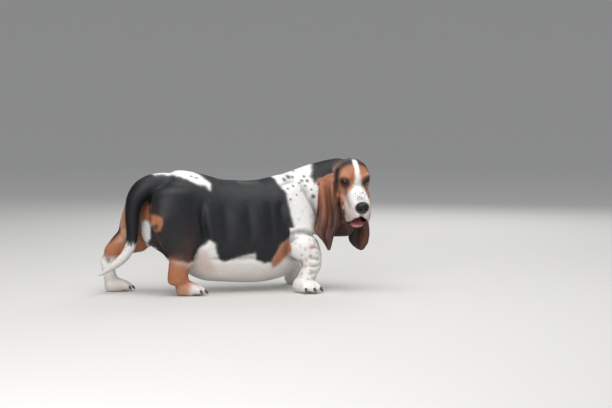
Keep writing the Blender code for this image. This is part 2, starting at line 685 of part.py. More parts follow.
# An ear's rows: its front edge, its back edge, then the folds' depth, their count and the belly.
EAR_RIGHT = [
    (0.312, -0.078, 0.368, 0.276, -0.062, 0.350, 0.000, 1.0, 0.000),
    (0.312, -0.096, 0.363, 0.268, -0.082, 0.343, 0.001, 1.2, 0.002),
    (0.309, -0.110, 0.350, 0.260, -0.096, 0.330, 0.002, 1.5, 0.005),
    (0.306, -0.121, 0.326, 0.252, -0.110, 0.308, 0.004, 2.0, 0.008),
    (0.309, -0.129, 0.288, 0.246, -0.121, 0.272, 0.006, 2.2, 0.009),
    (0.320, -0.137, 0.245, 0.236, -0.132, 0.232, 0.007, 2.2, 0.010),
    (0.317, -0.146, 0.208, 0.228, -0.144, 0.196, 0.007, 2.0, 0.008),
    (0.296, -0.150, 0.178, 0.241, -0.152, 0.167, 0.006, 1.6, 0.004),
    (0.286, -0.150, 0.148, 0.262, -0.152, 0.142, 0.004, 1.2, 0.002),
    (0.280, -0.150, 0.128, 0.269, -0.152, 0.127, 0.000, 1.0, 0.000),
]
EAR_LEFT = [
    (0.398, -0.082, 0.362, 0.380, -0.034, 0.350, 0.000, 1.0, 0.000),
    (0.412, -0.086, 0.362, 0.400, -0.030, 0.350, 0.001, 1.2, -0.002),
    (0.418, -0.088, 0.345, 0.410, -0.028, 0.332, 0.002, 1.5, -0.004),
    (0.417, -0.092, 0.315, 0.410, -0.026, 0.300, 0.004, 2.0, -0.006),
    (0.413, -0.096, 0.280, 0.404, -0.026, 0.262, 0.006, 2.2, -0.008),
    (0.414, -0.100, 0.246, 0.396, -0.028, 0.228, 0.007, 2.2, -0.009),
    (0.424, -0.102, 0.206, 0.388, -0.032, 0.190, 0.007, 2.0, -0.008),
    (0.430, -0.098, 0.168, 0.380, -0.044, 0.155, 0.006, 1.6, -0.004),
    (0.427, -0.090, 0.138, 0.390, -0.060, 0.130, 0.004, 1.2, -0.002),
    (0.418, -0.082, 0.119, 0.406, -0.072, 0.116, 0.000, 1.0, 0.000),
]


def coloured(item, colour, roughness=0.7):
    """The item given a material of its own and round shading."""
    material = bpy.data.materials.new(item.name)
    material.use_nodes = True
    shader = material.node_tree.nodes["Principled BSDF"]
    shader.inputs["Base Color"].default_value = COLOURS[colour]
    shader.inputs["Roughness"].default_value = roughness
    shader.inputs["Metallic"].default_value = 0.0
    item.data.materials.clear()
    item.data.materials.append(material)
    item.data.shade_smooth()
    return item


def decimated(item, ratio):
    thin = item.modifiers.new("thin", "DECIMATE")
    thin.ratio = ratio
    apply_modifiers(item)


def triangle_count(item):
    return sum(len(face.vertices) - 2 for face in item.data.polygons)


def sculpted_skin():
    """The melted, smoothed and folded skin of the whole animal, thinned to its last triangles."""
    skin = joined("torso", flesh_pieces())
    melt(skin, VOXEL)
    points = points_of(skin.data)
    edges = edges_of(skin.data)
    to_head = np.array(head_frame().inverted())
    local = points @ to_head[:3, :3].T + to_head[:3, 3]
    near_head = np.clip((0.16 - np.linalg.norm(local - np.array([0, 0, -0.04]), axis=1)) / 0.04, 0, 1)
    near_paw = np.clip((0.07 - points[:, 2]) / 0.03, 0, 1)
    weight = 0.6 * (1 - 0.72 * np.maximum(near_head, near_paw))
    points = smoothed(points, edges, weight, 24)
    skin.data.vertices.foreach_set("co", points.ravel())
    skin.data.update()
    points = pressed(points, skin.data)
    points = smoothed(points, edges, 0.5 * weight, 4)
    skin.data.vertices.foreach_set("co", points.ravel())
    skin.data.update()
    decimated(skin, TRIANGLES / triangle_count(skin))
    return skin


def remove(*items):
    for item in items:
        bpy.data.objects.remove(item)


def eye_ball(name, side, grow=0.0):
    mesh = bpy.data.meshes.new(name)
    body = bmesh.new()
    bmesh.ops.create_uvsphere(body, u_segments=14, v_segments=8, radius=EYE_RADIUS + grow)
    body.to_mesh(mesh)
    body.free()
    mesh.transform(eye_frame(side) @ Matrix.Rotation(math.pi / 2, 4, "Y"))
    face_outwards(mesh)
    return add(name, mesh)


def make_face(head):
    """Mouth, tongue, nose and eyes, each let into the head with the usual gap around it."""
    nodes = []
    mouth = head_tube("mouth", MOUTH, 6, 12, caps=2)
    cut(head, mouth)
    remove(mouth)
    tongue = head_tube("tongue", TONGUE, 6, 12, caps=2)
    wide = head_tube("wide", TONGUE, 6, 12, grow=1.5 * GAP, caps=2)
    cut(head, wide)
    remove(wide)
    nodes.append(coloured(tongue, "tongue", 0.35))
    nose = head_tube("nose", NOSE, 5, 14, caps=3)
    wide = head_tube("wide", NOSE, 5, 14, grow=1.5 * GAP, caps=3)
    cut(head, wide)
    remove(wide)
    for rows in (NOSTRIL, mirrored(NOSTRIL)):
        hole = head_tube("nostril", rows, 4, 8, caps=2)
        cut(nose, hole)
        remove(hole)
    nodes.append(coloured(nose, "nose", 0.4))
    for name, side in (("eye_right", -1), ("eye_left", 1)):
        lids = lid_ring("lids", side)
        cut(head, lids, "UNION")
        remove(lids)
        eye = eye_ball(name, side)
        wide = eye_ball("wide", side, 1.5 * GAP)
        cut(head, wide)
        remove(wide)
        nodes.append(coloured(eye, "eye", 0.1))
    return nodes


def claws_of(paw_name, paw):
    """The four claws of a paw, each in its own socket."""
    place, turn, size = PAWS[paw_name]
    frame = paw_frame(place, turn)
    nodes = []
    for number, (spread, reach) in enumerate(TOES, 1):
        rows = scaled(ray_rows(CLAW_ARC, spread, reach), size)
        claw = tube(f"claw_{paw_name}_{number}", rows, rings=3, sides=6, frame=frame, caps=2)
        wide = tube("wide", rows, rings=3, sides=6, frame=frame, grow=1.5 * GAP, caps=2)
        cut(paw, wide)
        remove(wide)
        nodes.append(coloured(claw, "horn", 0.4))
    return nodes


def make_ears(others):
    """Each ear's sheet, trimmed where its root meets the head and neck."""
    nodes = []
    for name, rows in (("ear_right", EAR_RIGHT), ("ear_left", EAR_LEFT)):
        ear = ear_sheet(name, rows, EAR_THICK)
        for other in others:
            wide = copied(other, "wide")
            swollen = wide.modifiers.new("swell", "DISPLACE")
            swollen.strength = 1.6 * GAP
            swollen.mid_level = 0.0
            apply_modifiers(wide)
            cut(ear, wide, solver="MANIFOLD")
            remove(wide)
        nodes.append(coloured(ear, "tan"))
    return nodes


def in_collection(name, items):
    """The nodes put in a collection of their own, and moved to stand over the origin."""
    group = bpy.data.collections.new(name)
    bpy.context.scene.collection.children.link(group)
    for item in items:
        group.objects.link(item)
        bpy.context.scene.collection.objects.unlink(item)
    return centred(items)


def centred(items):
    """Everything moved so that the middle of its footprint stands over the origin."""
    low = np.min([points_of(item.data).min(axis=0) for item in items], axis=0)
    high = np.max([points_of(item.data).max(axis=0) for item in items], axis=0)
    shift = Vector((-(low[0] + high[0]) / 2, -(low[1] + high[1]) / 2, 0.0))
    for item in items:
        item.data.transform(Matrix.Translation(shift))
    return shift


def head_cutter(grow):
    """A box whose back face slants through the throat, from under the occiput to the dewlap."""
    slant = math.radians(-38.4)
    make = box_cutter((50 * MM, 0, 46 * MM), (0.300, 0.160, 0.420), Matrix.Rotation(slant, 3, "Y"))
    box = make(grow)
    box.data.transform(head_frame())
    return box


NECK_CUT = box_cutter((0.372, 0.000, 0.300), (0.300, 0.42, 0.50), Matrix.Rotation(-0.42, 3, "Y"))
TAIL_CUT = box_cutter((-0.384, 0.003, 0.144), (0.200, 0.062, 0.290))
LEG_EGGS = {
    "hind_leg_right": ((-0.200, -0.150, 0.060), (0.100, 0.092, 0.270), None),
    "hind_leg_left": (
        (-0.235, 0.150, 0.110), (0.130, 0.100, 0.220), ((-0.370, 0.112, 0.095), (0.180, 0.142, 0.330)),
    ),
    "foreleg_right": ((0.205, -0.165, 0.050), (0.090, 0.092, 0.210), None),
    "foreleg_left": ((0.225, 0.152, 0.050), (0.092, 0.092, 0.210), None),
}


def leg_cutter(centre, radii, block):
    """An egg over the thigh or shoulder, joined to a box where the leg reaches far behind."""
    def make(grow):
        egg = egg_cutter(centre, radii)(grow)
        if block is not None:
            box = box_cutter(*block)(grow)
            cut(egg, box, "UNION")
            remove(box)
        return egg
    return make


def main():
    clear_scene()
    torso = sculpted_skin()
    floor = box_cutter((0, 0, -0.05), (2.0, 1.0, 0.1))(0.0)
    cut(torso, floor)
    remove(floor)
    nodes = make_face(torso)
    head = part_off(torso, "head", head_cutter)
    tail = part_off(torso, "tail", TAIL_CUT)
    for name, (centre, radii, block) in LEG_EGGS.items():
        leg = part_off(torso, name, leg_cutter(centre, radii, block))
        nodes += claws_of(name.replace("leg", "").replace("__", "_"), leg)
        nodes.append(coloured(leg, "tan"))
    neck = part_off(torso, "neck", NECK_CUT)
    nodes += make_ears([head, neck])
    nodes += [coloured(torso, "black"), coloured(head, "tan")]
    nodes += [coloured(neck, "white"), coloured(tail, "white")]
    return in_collection("basset_hound", nodes)


SHIFT = main()
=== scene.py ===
# %% [markdown]
# # A basset hound, life size
# A basset is one loose, short-haired skin hung on a long barrel and four short, heavy legs. The solids
# loaded here are that animal cut into the parts that a person would name, right in place and size but
# parted by thin cuts and bare. This lesson gives it one whole skin with folds and lids, its own eyes,
# nose leather, tongue and claws, and then a coat of short hair that lies the way a dog's hair lies.

# %% The solids, as the fixed frame
import json
import math
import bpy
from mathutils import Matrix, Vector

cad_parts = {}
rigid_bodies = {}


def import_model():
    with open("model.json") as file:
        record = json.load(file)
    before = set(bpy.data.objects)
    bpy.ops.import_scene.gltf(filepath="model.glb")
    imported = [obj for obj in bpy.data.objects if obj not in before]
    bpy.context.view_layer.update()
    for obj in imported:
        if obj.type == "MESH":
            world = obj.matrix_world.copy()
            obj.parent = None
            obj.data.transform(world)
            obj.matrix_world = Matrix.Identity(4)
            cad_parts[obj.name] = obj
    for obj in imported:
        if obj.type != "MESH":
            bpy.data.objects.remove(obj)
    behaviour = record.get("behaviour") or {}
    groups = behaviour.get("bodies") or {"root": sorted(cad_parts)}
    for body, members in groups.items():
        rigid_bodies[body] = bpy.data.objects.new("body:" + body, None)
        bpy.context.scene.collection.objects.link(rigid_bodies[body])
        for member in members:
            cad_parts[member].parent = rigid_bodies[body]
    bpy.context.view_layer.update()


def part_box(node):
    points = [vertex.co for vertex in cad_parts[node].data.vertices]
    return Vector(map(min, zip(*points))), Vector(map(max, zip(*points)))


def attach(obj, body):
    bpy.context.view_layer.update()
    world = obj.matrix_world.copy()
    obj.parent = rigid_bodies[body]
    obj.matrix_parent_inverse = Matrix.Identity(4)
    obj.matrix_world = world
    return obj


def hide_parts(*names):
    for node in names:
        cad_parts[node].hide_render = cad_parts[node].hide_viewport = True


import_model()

from types import SimpleNamespace

import bmesh
import bpy
import numpy as np
from mathutils import Matrix, Vector

MM = 0.001

# %% [markdown]
# ## One place to measure from
# Everything on the head is given ahead, left and up from the point between the eyes, in millimetres,
# because that is how a face is looked at. One matrix then carries it to the turned, drooping head. The
# solids were moved over the origin as their last step, and the right eye tells by how much.

# %% The head's frame, the eyes' frames and the shift of the whole animal
EYE_LINE = Vector((0.372, -0.130, 0.339))
HEAD_TURN, HEAD_PITCH, HEAD_ROLL = (math.radians(angle) for angle in (-98.5, 24.0, 2.5))
SWING = 0.08
SWING_FROM = -30.0
EYE_RADIUS = 12.5 * MM
EYE_PLACE = (-9 * MM, 32 * MM, 0 * MM)
EYE_GAZE = (0.93, 0.34, -0.10)


def head_matrix():
    """The head's axes in the world: turned about Z, pitched about Y, rolled about X, at the eye line."""
    turn = Matrix.Rotation(HEAD_TURN, 4, "Z")
    pitch = Matrix.Rotation(HEAD_PITCH, 4, "Y")
    roll = Matrix.Rotation(HEAD_ROLL, 4, "X")
    return Matrix.Translation(EYE_LINE) @ turn @ pitch @ roll


def eye_matrix(side):
    """An eye's axes: x along the gaze, y outwards along the lids, z up. The right eye's are mirrored."""
    gaze = Vector((EYE_GAZE[0], side * EYE_GAZE[1], EYE_GAZE[2])).normalized()
    out = Vector((0, side, 0))
    out = (out - out.dot(gaze) * gaze).normalized()
    axes = Matrix((gaze, out, gaze.cross(out) * side)).transposed().to_4x4()
    place = Vector((EYE_PLACE[0], side * EYE_PLACE[1], EYE_PLACE[2]))
    return head_matrix() @ Matrix.Translation(place) @ axes


def carried(points, matrix):
    """Each point through the matrix: rotation times point, plus the matrix's own place."""
    matrix = np.array(matrix)
    return points @ matrix[:3, :3].T + matrix[:3, 3]


HEAD = head_matrix()
eye_low, eye_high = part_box("eye_right")
SHIFT = np.array((eye_low + eye_high) / 2 - eye_matrix(-1).translation)
print("shift of the animal, mm:", np.round(SHIFT / MM, 2))

# %% [markdown]
# ## Forms from stations
# A leg or a muzzle changes its section all along, so a cylinder with a subdivision surface would need a
# cage of hand-placed points. A loft is easier to read: a few stations say where the middle is and how
# far the form reaches up, down, right and left there, and a smooth curve through them gives the rest.

# %% Curves and lofts
ROUND = 2.0


def spline(rows, count):
    """Cubic curve through the rows, read at even steps of path length: the Hermite blend of each row
    with the slope there, which is the difference of its neighbours over their distance."""
    rows = np.array(rows, float)
    step = np.linalg.norm(np.diff(rows[:, :3], axis=0), axis=1)
    at = np.concatenate([[0.0], np.cumsum(step)])
    slope = np.gradient(rows, at, axis=0)
    wanted = np.linspace(0.0, at[-1], count)
    left = np.clip(np.searchsorted(at, wanted, side="right") - 1, 0, len(at) - 2)
    width = (at[left + 1] - at[left])[:, None]
    t = (wanted - at[left])[:, None] / width
    return (
        (2 * t**3 - 3 * t**2 + 1) * rows[left]
        + (t**3 - 2 * t**2 + t) * width * slope[left]
        + (-2 * t**3 + 3 * t**2) * rows[left + 1]
        + (t**3 - t**2) * width * slope[left + 1]
    )


def loft(rows, up=(0, 0, 1), rings=24, sides=28, dome=0.5, caps=6):
    """A grid of sections along the stations. A section is a super-ellipse, the cosine and the sine each
    raised to 2 / squareness and stretched by its four reaches. Near the ends a quarter circle shrinks
    it, over `dome` times the end's radius, so both ends close as a dome."""
    line = spline(rows, 4 * rings)
    along = np.linalg.norm(np.diff(line[:, :3], axis=0), axis=1)
    along = np.concatenate([[0.0], np.cumsum(along)])
    reach = dome * np.array([line[0, 3:7].mean(), line[-1, 3:7].mean()])
    turn = np.linspace(0.0, np.pi / 2, caps + 1)[:-1]
    middle = np.linspace(reach[0], along[-1] - reach[1], rings)
    start = reach[0] * (1 - np.cos(turn))
    end = along[-1] - reach[1] * (1 - np.cos(turn))
    where = np.concatenate([start, middle, end[::-1]])
    shrink = np.concatenate([np.sin(turn), np.ones(rings), np.sin(turn[::-1])])
    shrink[[0, -1]] = 0.02
    row = np.stack([np.interp(where, along, line[:, k]) for k in range(8)], axis=1)
    tangent = np.gradient(row[:, :3], where, axis=0)
    tangent /= np.linalg.norm(tangent, axis=1)[:, None]
    up = np.array(up, float)
    top = up - (tangent @ up)[:, None] * tangent
    top /= np.linalg.norm(top, axis=1)[:, None]
    right = np.cross(tangent, top)
    phi = np.linspace(0.0, 2 * np.pi, sides, endpoint=False)
    power = 2.0 / row[:, 7][:, None]
    c = np.sign(np.cos(phi)) * np.abs(np.cos(phi)) ** power
    s = np.sign(np.sin(phi)) * np.abs(np.sin(phi)) ** power
    rise = np.where(s >= 0, row[:, 3][:, None], row[:, 4][:, None]) * s * shrink[:, None]
    side = np.where(c >= 0, row[:, 5][:, None], row[:, 6][:, None]) * c * shrink[:, None]
    return row[:, None, :3] + rise[..., None] * top[:, None] + side[..., None] * right[:, None]


def closed(grid):
    """Points and faces of a loft: four-sided faces between rings, and a fan from each end's middle."""
    rings, sides, _ = grid.shape
    index = np.arange(rings * sides).reshape(rings, sides)
    a, b = index[:-1], index[1:]
    quads = np.stack([a, b, np.roll(b, -1, 1), np.roll(a, -1, 1)], axis=-1).reshape(-1, 4)
    first, last = np.full(sides, rings * sides), np.full(sides, rings * sides + 1)
    start = np.stack([first, index[0], np.roll(index[0], -1)], axis=1)
    end = np.stack([last, np.roll(index[-1], -1), index[-1]], axis=1)
    points = np.concatenate([grid.reshape(-1, 3), [grid[0].mean(axis=0)], [grid[-1].mean(axis=0)]])
    return points, quads, np.concatenate([start, end])


def together(forms):
    """Several closed forms as one set of points and faces, each form's corner numbers moved on."""
    first = np.cumsum([0] + [len(points) for points, _, _ in forms])
    points = np.concatenate([form[0] for form in forms])
    quads = np.concatenate([form[1] + n for form, n in zip(forms, first)])
    tris = np.concatenate([form[2] + n for form, n in zip(forms, first)])
    return points, quads, tris


def new_mesh(name, points, *faces):
    """A mesh from whole arrays: its points, then one array of corner numbers for each kind of face."""
    faces = [part for part in faces if len(part)]
    mesh = bpy.data.meshes.new(name)
    mesh.vertices.add(len(points))
    mesh.vertices.foreach_set("co", np.ascontiguousarray(points, np.float32).ravel())
    corners = np.concatenate([part.ravel() for part in faces]).astype(np.int32)
    sizes = np.concatenate([np.full(len(part), part.shape[1]) for part in faces])
    mesh.loops.add(len(corners))
    mesh.loops.foreach_set("vertex_index", corners)
    mesh.polygons.add(len(sizes))
    mesh.polygons.foreach_set("loop_start", (np.cumsum(sizes) - sizes).astype(np.int32))
    mesh.update(calc_edges=True)
    mesh.shade_smooth()
    return mesh


def new_object(name, mesh):
    """An object of this mesh at the origin, unturned and unscaled."""
    item = bpy.data.objects.new(name, mesh)
    bpy.context.scene.collection.objects.link(item)
    return item


def in_body(rows):
    """Stations of the body in metres from millimetres, with the squareness 2 where none is given."""
    rows = np.array([(*row, ROUND)[:8] for row in rows])
    rows[:, :7] /= 1000
    return rows


def in_metres(rows):
    """The same for stations of the head, which stay in millimetres until they are used."""
    return [(*(v * MM for v in row[:7]), *row[7:], ROUND)[:8] for row in rows]


def mirrored(rows):
    """The stations on the other side: y changes its sign, and right and left change places."""
    return [(r[0], -r[1], r[2], r[3], r[4], r[6], r[5], *r[7:]) for r in rows]


def hung(rows):
    """What hangs below the muzzle's middle swings to the animal's right, as the head leans."""
    return [(r[0], r[1] + SWING * min(r[2] - SWING_FROM, 0.0), *r[2:]) for r in rows]


def on_head(rows, rings=24, sides=28, dome=0.5, caps=6):
    """A loft given on the head, in the world."""
    points, quads, tris = closed(loft(in_metres(hung(rows)), (0, 0, 1), rings, sides, dome, caps))
    return carried(points, HEAD), quads, tris


# %% [markdown]
# ## The stations of the body
# A station is x, y, z of the middle, then the reach up, down, right and left, all in millimetres, and
# the squareness of the section where it isn't 2, which is round. The barrel is deep and almost level
# below, the croup falls to a tail that leaves the body low and hangs, and the legs are short columns
# with a fold of spare skin at each wrist.

# %% Trunk, neck and tail
TORSO = in_body([
    (-270, 0, 262, 82, 66, 66, 66),
    (-255, 0, 256, 104, 88, 86, 86),
    (-225, 0, 245, 133, 105, 98, 98),
    (-170, 0, 232, 149, 130, 104, 104, 2.1),
    (-120, 0, 215, 154, 150, 107, 107, 2.2),
    (-60, 0, 200, 152, 168, 112, 112, 2.3),
    (0, 0, 190, 156, 164, 119, 119, 2.3),
    (60, 0, 190, 153, 168, 123, 123, 2.3),
    (115, 0, 195, 151, 168, 119, 119, 2.2),
    (160, 0, 205, 150, 160, 110, 110, 2.1),
    (205, 0, 215, 146, 140, 96, 96),
    (245, 0, 220, 110, 108, 78, 78),
    (272, 0, 212, 66, 60, 50, 50),
])
NECK = in_body([
    (130, 0, 246, 94, 106, 85, 85),
    (205, -4, 268, 98, 112, 84, 86),
    (255, -16, 290, 95, 108, 78, 80),
    (300, -36, 314, 89, 96, 68, 72),
    (338, -62, 336, 76, 80, 58, 62),
    (362, -92, 345, 62, 66, 50, 54),
])
DEWLAP = in_body([
    (240, -4, 225, 55, 50, 45, 45),
    (290, -26, 220, 55, 56, 36, 36),
    (330, -58, 224, 55, 64, 30, 30),
    (352, -90, 236, 55, 70, 28, 28),
    (360, -122, 246, 45, 50, 28, 28),
])
TAIL = in_body([
    (-150, 0, 318, 44, 44, 44, 44),
    (-210, 0, 333, 40, 40, 40, 40),
    (-256, 0, 331, 37, 37, 37, 37),
    (-286, 0, 316, 34, 34, 33, 33),
    (-305, 1, 292, 29, 29, 29, 29),
    (-312, 2, 262, 26, 24, 26, 26),
    (-314, 3, 222, 23, 22, 23, 23),
    (-314, 4, 182, 20, 19, 20, 20),
    (-319, 5, 150, 18, 18, 18, 18),
    (-334, 6, 122, 16.5, 17, 17, 17),
    (-362, 7, 95, 14.5, 15, 15, 15),
    (-392, 8, 75, 11, 11, 11, 11),
    (-427, 9, 55, 4, 4, 4, 4),
])

# %% Legs
THIGH_RIGHT = in_body([
    (-200, -50, 335, 60, 60, 44, 50),
    (-198, -66, 270, 82, 78, 48, 55, 2.2),
    (-194, -78, 215, 80, 80, 44, 50, 2.2),
    (-188, -86, 165, 70, 66, 38, 42, 2.1),
    (-186, -92, 120, 48, 44, 32, 34),
])
GASKIN_RIGHT = in_body([
    (-182, -90, 145, 50, 50, 34, 36),
    (-188, -96, 112, 42, 40, 31, 33),
    (-197, -100, 85, 34, 33, 28, 29),
    (-200, -102, 58, 33, 34, 26, 27),
    (-198, -104, 30, 36, 36, 28, 28),
])
THIGH_LEFT = in_body([
    (-215, 50, 330, 60, 60, 50, 44),
    (-230, 66, 270, 80, 82, 55, 48, 2.2),
    (-246, 78, 215, 84, 86, 50, 44, 2.2),
    (-252, 86, 165, 72, 80, 42, 38, 2.1),
    (-252, 90, 135, 45, 55, 34, 32),
])
GASKIN_LEFT = in_body([
    (-240, 88, 170, 45, 48, 34, 34),
    (-300, 88, 158, 46, 44, 33, 33),
    (-345, 87, 130, 34, 34, 28, 28),
    (-374, 86, 104, 24, 24, 23, 23),
])
METATARSUS_LEFT = in_body([
    (-374, 86, 116, 18, 18, 19, 19),
    (-372, 86, 90, 23, 24, 22, 22),
    (-366, 86, 58, 21, 20, 20, 20),
    (-360, 87, 28, 24, 23, 24, 24),
])
SHOULDER_RIGHT = in_body([
    (150, -55, 325, 50, 50, 40, 40),
    (178, -72, 270, 60, 60, 40, 45),
    (195, -86, 215, 60, 60, 40, 45),
    (204, -100, 160, 50, 46, 38, 42),
])
FOREARM_RIGHT = in_body([
    (198, -98, 168, 44, 44, 40, 44),
    (206, -112, 140, 50, 52, 40, 42),
    (220, -122, 112, 41, 40, 34, 36),
    (222, -130, 84, 34, 32, 30, 30),
    (210, -136, 56, 28, 28, 28, 26),
    (194, -142, 30, 30, 30, 30, 28),
])
SHOULDER_LEFT = in_body([
    (150, 55, 325, 50, 50, 40, 40),
    (180, 72, 270, 60, 60, 45, 40),
    (198, 86, 215, 60, 60, 45, 40),
    (206, 98, 160, 50, 48, 42, 38),
])
FOREARM_LEFT = in_body([
    (202, 94, 168, 44, 46, 42, 40),
    (212, 104, 140, 46, 48, 40, 38),
    (228, 108, 112, 40, 38, 34, 33),
    (240, 110, 84, 34, 32, 30, 30),
    (247, 111, 56, 27, 27, 26, 28),
    (252, 112, 30, 29, 29, 28, 30),
])

# %% [markdown]
# ## Paws
# A basset's paw is a thick pad with four toes side by side, each an arch that rises over its knuckle and
# comes down in front, with a dark claw leaving it forwards and down. One set of rules in the paw's own
# frame serves all four, turned the way that each foot points.

# %% Palm, toes and claws in the paw's frame
# Place, turn in degrees and size of each paw.
PAWS = {
    "hind_right": ((-0.182, -0.105, 0.0), -8.0, 0.95),
    "hind_left": ((-0.356, 0.087, 0.0), 6.0, 0.92),
    "fore_right": ((0.188, -0.142, 0.0), -64.0, 1.0),
    "fore_left": ((0.250, 0.112, 0.0), 34.0, 1.0),
}
# Turn of each toe from the paw's middle, in degrees, and its reach.
TOES = ((-30, 0.056), (-10, 0.068), (10, 0.068), (30, 0.056))
TOE_SPREAD = 1.15
PALM = in_body([
    (-28, 0, 20, 20, 24, 22, 22),
    (-4, 0, 22, 28, 26, 29, 29),
    (26, 0, 20, 25, 24, 33, 33),
    (44, 0, 15, 15, 19, 27, 27),
])
# Share of the reach from the palm, height and radius there.
TOE_ARCH = ((0.20, 0.026, 0.0125), (0.58, 0.028, 0.0130), (0.86, 0.016, 0.0125), (1.0, 0.010, 0.0100))
CLAW_ARC = ((0.80, 0.0185, 0.0042), (0.98, 0.0165, 0.0044), (1.07, 0.0120, 0.0034), (1.13, 0.0055, 0.0012))


def ray_rows(arc, spread, reach):
    """Stations of a toe or a claw: shares of its reach along a ray from the palm, with height and
    radius at each share."""
    a = math.radians(spread)
    away, aside = reach * math.cos(a), reach * math.sin(a) * TOE_SPREAD
    return [(away * k, aside * k, z, r, r, r, r, 2.0) for k, z, r in arc]


def in_paw(paw, rows, rings=12, sides=16, dome=0.6):
    """A loft given in a paw's frame, at that paw's size, turn and place."""
    place, turn, size = PAWS[paw]
    rows = [tuple(v * size for v in row[:7]) + (row[7],) for row in rows]
    matrix = Matrix.Translation(place) @ Matrix.Rotation(math.radians(turn), 4, "Z")
    points, quads, tris = closed(loft(rows, rings=rings, sides=sides, dome=dome))
    return carried(points, matrix), quads, tris


# %% [markdown]
# ## The head's stations
# Millimetres from the point between the eyes. The skull is a long dome with a marked point behind, the
# muzzle deep and square, and the flews, the loose upper lips, hang past the jaw as two soft curtains
# with an upside-down V between them, where the mouth and the tongue show.

# %% Skull, muzzle, lips and jaw
CRANIUM = [
    (-120, 0, 4, 16, 20, 20, 20),
    (-100, 0, 0, 36, 42, 40, 40),
    (-68, 0, -5, 49, 62, 51, 51, 2.1),
    (-38, 0, -8, 47, 68, 53, 53, 2.1),
    (-16, 0, -14, 38, 62, 48, 48, 2.1),
    (3, 0, -20, 27, 44, 41, 41, 2.1),
]
MUZZLE = [
    (-30, 0, -32, 26, 44, 30, 30),
    (10, 0, -32, 24, 44, 31, 31, 2.2),
    (40, 0, -38, 24, 42, 33, 33, 2.3),
    (72, 0, -40, 25, 40, 33, 33, 2.3),
    (98, 0, -38, 23, 34, 29, 29, 2.2),
    (112, 0, -37, 17, 24, 21, 21),
]
FLEW = [
    (112, -4, -58, 8, 8, 8, 8),
    (104, -14, -64, 16, 12, 11, 10),
    (90, -23, -70, 24, 22, 12, 11),
    (72, -28, -76, 28, 32, 13, 12),
    (52, -30, -78, 30, 36, 14, 13),
    (30, -31, -76, 30, 34, 15, 13),
    (6, -33, -70, 30, 30, 16, 13),
    (-20, -36, -58, 26, 26, 17, 14),
    (-44, -34, -44, 24, 24, 18, 14),
]
JAW = [
    (-40, 0, -66, 20, 24, 34, 34),
    (0, 0, -90, 20, 22, 28, 28),
    (40, 0, -108, 10, 14, 25, 25),
    (70, 0, -114, 7, 9, 24, 24),
    (88, 0, -114, 5, 7, 17, 17),
]
BROW = [
    (0, -13, 8, 6, 6, 6, 6),
    (-4, -24, 15, 8, 8, 8, 8),
    (-10, -36, 14, 8, 8, 8, 8),
    (-20, -46, 6, 7, 7, 7, 7),
]
MOUTH = [
    (8, 0, -98, 6, 3, 14, 14, 1.4),
    (40, 0, -104, 20, 4, 24, 24, 1.4),
    (70, 0, -108, 34, 4, 30, 30, 1.4),
    (98, 0, -108, 41, 6, 34, 34, 1.4),
    (130, 0, -106, 44, 8, 40, 40, 1.4),
]

# %% [markdown]
# ## Ears
# The leathers hang from low on the skull to below the jaw and fold inwards as they go. Each is a sheet
# between a front edge and a back edge, bellied out and rippled along its width. A cosine of the place
# across gives the ripples, and they grow and fade down the ear with the rows.

# %% Ear rows: front edge, back edge, depth of the folds, their number and the belly
EAR_THICK = 4.6 * MM
EAR_UNITS = np.array([1000, 1000, 1000, 1000, 1000, 1000, 1000, 1, 1000])
EAR_RIGHT = np.array([
    (312, -78, 368, 276, -62, 350, 0, 1.0, 0),
    (312, -96, 363, 268, -82, 343, 1, 1.2, 2),
    (309, -110, 350, 260, -96, 330, 2, 1.5, 5),
    (306, -121, 326, 252, -110, 308, 4, 2.0, 8),
    (309, -129, 288, 246, -121, 272, 6, 2.2, 9),
    (320, -137, 245, 236, -132, 232, 7, 2.2, 10),
    (317, -146, 208, 228, -144, 196, 7, 2.0, 8),
    (296, -150, 178, 241, -152, 167, 6, 1.6, 4),
    (286, -150, 148, 262, -152, 142, 4, 1.2, 2),
    (280, -150, 128, 269, -152, 127, 0, 1.0, 0),
]) / EAR_UNITS
EAR_LEFT = np.array([
    (398, -82, 362, 380, -34, 350, 0, 1.0, 0),
    (412, -86, 362, 400, -30, 350, 1, 1.2, -2),
    (418, -88, 345, 410, -28, 332, 2, 1.5, -4),
    (417, -92, 315, 410, -26, 300, 4, 2.0, -6),
    (413, -96, 280, 404, -26, 262, 6, 2.2, -8),
    (414, -100, 246, 396, -28, 228, 7, 2.2, -9),
    (424, -102, 206, 388, -32, 190, 7, 2.0, -8),
    (430, -98, 168, 380, -44, 155, 6, 1.6, -4),
    (427, -90, 138, 390, -60, 130, 4, 1.2, -2),
    (418, -82, 119, 406, -72, 116, 0, 1.0, 0),
]) / EAR_UNITS

# Folds that run down the leather: place across from the front edge, width, depth, start and end.
EAR_FOLDS = ((0.27, 0.050, 5.5 * MM, 0.20, 0.90), (0.78, 0.060, 4.0 * MM, 0.48, 0.95))


